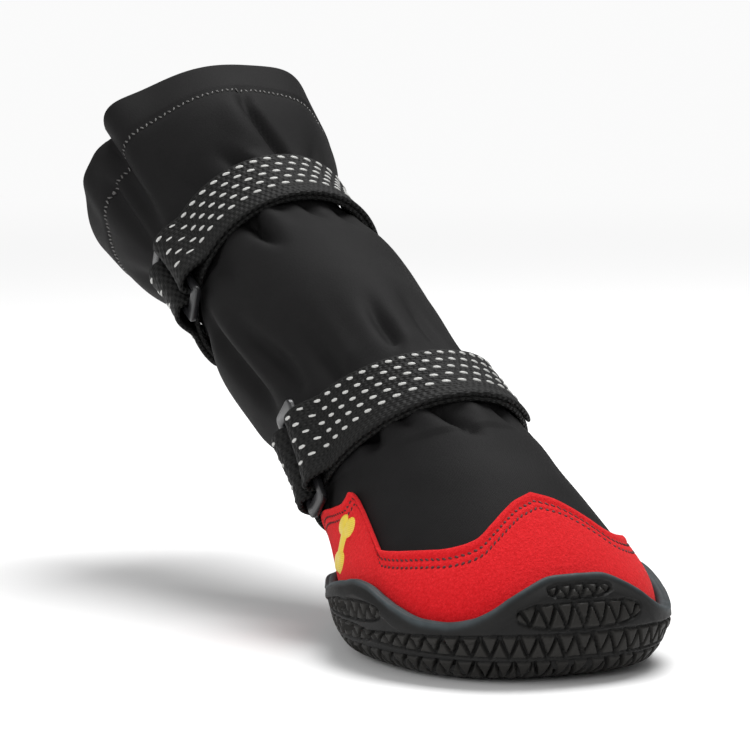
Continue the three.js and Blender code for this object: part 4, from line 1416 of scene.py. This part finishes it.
def makeFloor():
    bm = bmesh.new()
    bmesh.ops.create_grid(bm, x_segments=2, y_segments=2, size=16)
    mesh = bpy.data.meshes.new("floor")
    bm.to_mesh(mesh)
    bm.free()
    floor = bpy.data.objects.new("floor", mesh)
    scene.collection.objects.link(floor)
    material = bpy.data.materials.new("floor")
    material.use_nodes = True
    tree = material.node_tree
    shader = tree.nodes["Principled BSDF"]
    shader.inputs["Base Color"].default_value = (0.86, 0.86, 0.86, 1)
    shader.inputs["Roughness"].default_value = 0.8
    place = tree.nodes.new("ShaderNodeTexCoord").outputs["Object"]
    reach = addNode(tree, "ShaderNodeVectorMath", {0: place}, operation="LENGTH").outputs["Value"]
    far = addNode(tree, "ShaderNodeMapRange", {0: reach}, in1=0.3, in2=1.4)
    far.interpolation_type = "SMOOTHSTEP"
    glow = addNode(tree, "ShaderNodeEmission", in0=(0.96, 0.96, 0.96, 1))
    links = {0: far.outputs[0], 1: shader.outputs[0], 2: glow.outputs[0]}
    paper = addNode(tree, "ShaderNodeMixShader", links)
    facing = addNode(tree, "ShaderNodeNewGeometry").outputs["Backfacing"]
    clear = addNode(tree, "ShaderNodeBsdfTransparent").outputs[0]
    mix = addNode(tree, "ShaderNodeMixShader", {0: facing, 1: paper.outputs[0], 2: clear})
    tree.links.new(mix.outputs[0], tree.nodes["Material Output"].inputs[0])
    mesh.materials.append(material)


def areaLight(name, place, aim, size, power):
    light = bpy.data.lights.new(name, "AREA")
    light.shape = "RECTANGLE"
    light.size, light.size_y = size
    light.energy = power
    lamp = bpy.data.objects.new(name, light)
    lamp.location = place
    lamp.rotation_euler = (Vector(aim) - Vector(place)).to_track_quat("-Z", "Y").to_euler()
    scene.collection.objects.link(lamp)


makeFloor()
areaLight("overhead", (-0.25, 0.35, 1.15), (-0.06, 0, 0.05), (0.8, 0.8), 19)
areaLight("front", (0.9, -0.9, 0.55), (-0.03, 0, 0.04), (0.6, 0.6), 5)
areaLight("side", (-0.1, -1.1, 0.5), (-0.05, 0, 0.06), (0.6, 0.6), 3)

world = bpy.data.worlds.new("studio")
scene.world = world
world.use_nodes = True
world.node_tree.nodes["Background"].inputs[0].default_value = (1, 1, 1, 1)
world.node_tree.nodes["Background"].inputs[1].default_value = 0.36
scene.view_settings.view_transform = "Standard"

azimuth = math.radians(studio["azimuth"])
forward = Vector((-math.sin(azimuth), math.cos(azimuth), 0))
eye = -studio["distance"] * forward + Vector((0, 0, studio["height"]))
right = Vector((math.cos(azimuth), math.sin(azimuth), 0))
aim = forward + studio["aimRight"] * right - studio["aimDown"] * Vector((0, 0, 1))
cameraData = bpy.data.cameras.new("camera")
cameraData.lens = studio["lens"]
cameraData.sensor_width = 36
camera = bpy.data.objects.new("camera", cameraData)
camera.location = eye
camera.rotation_euler = aim.to_track_quat("-Z", "Y").to_euler()
scene.collection.objects.link(camera)
scene.camera = camera
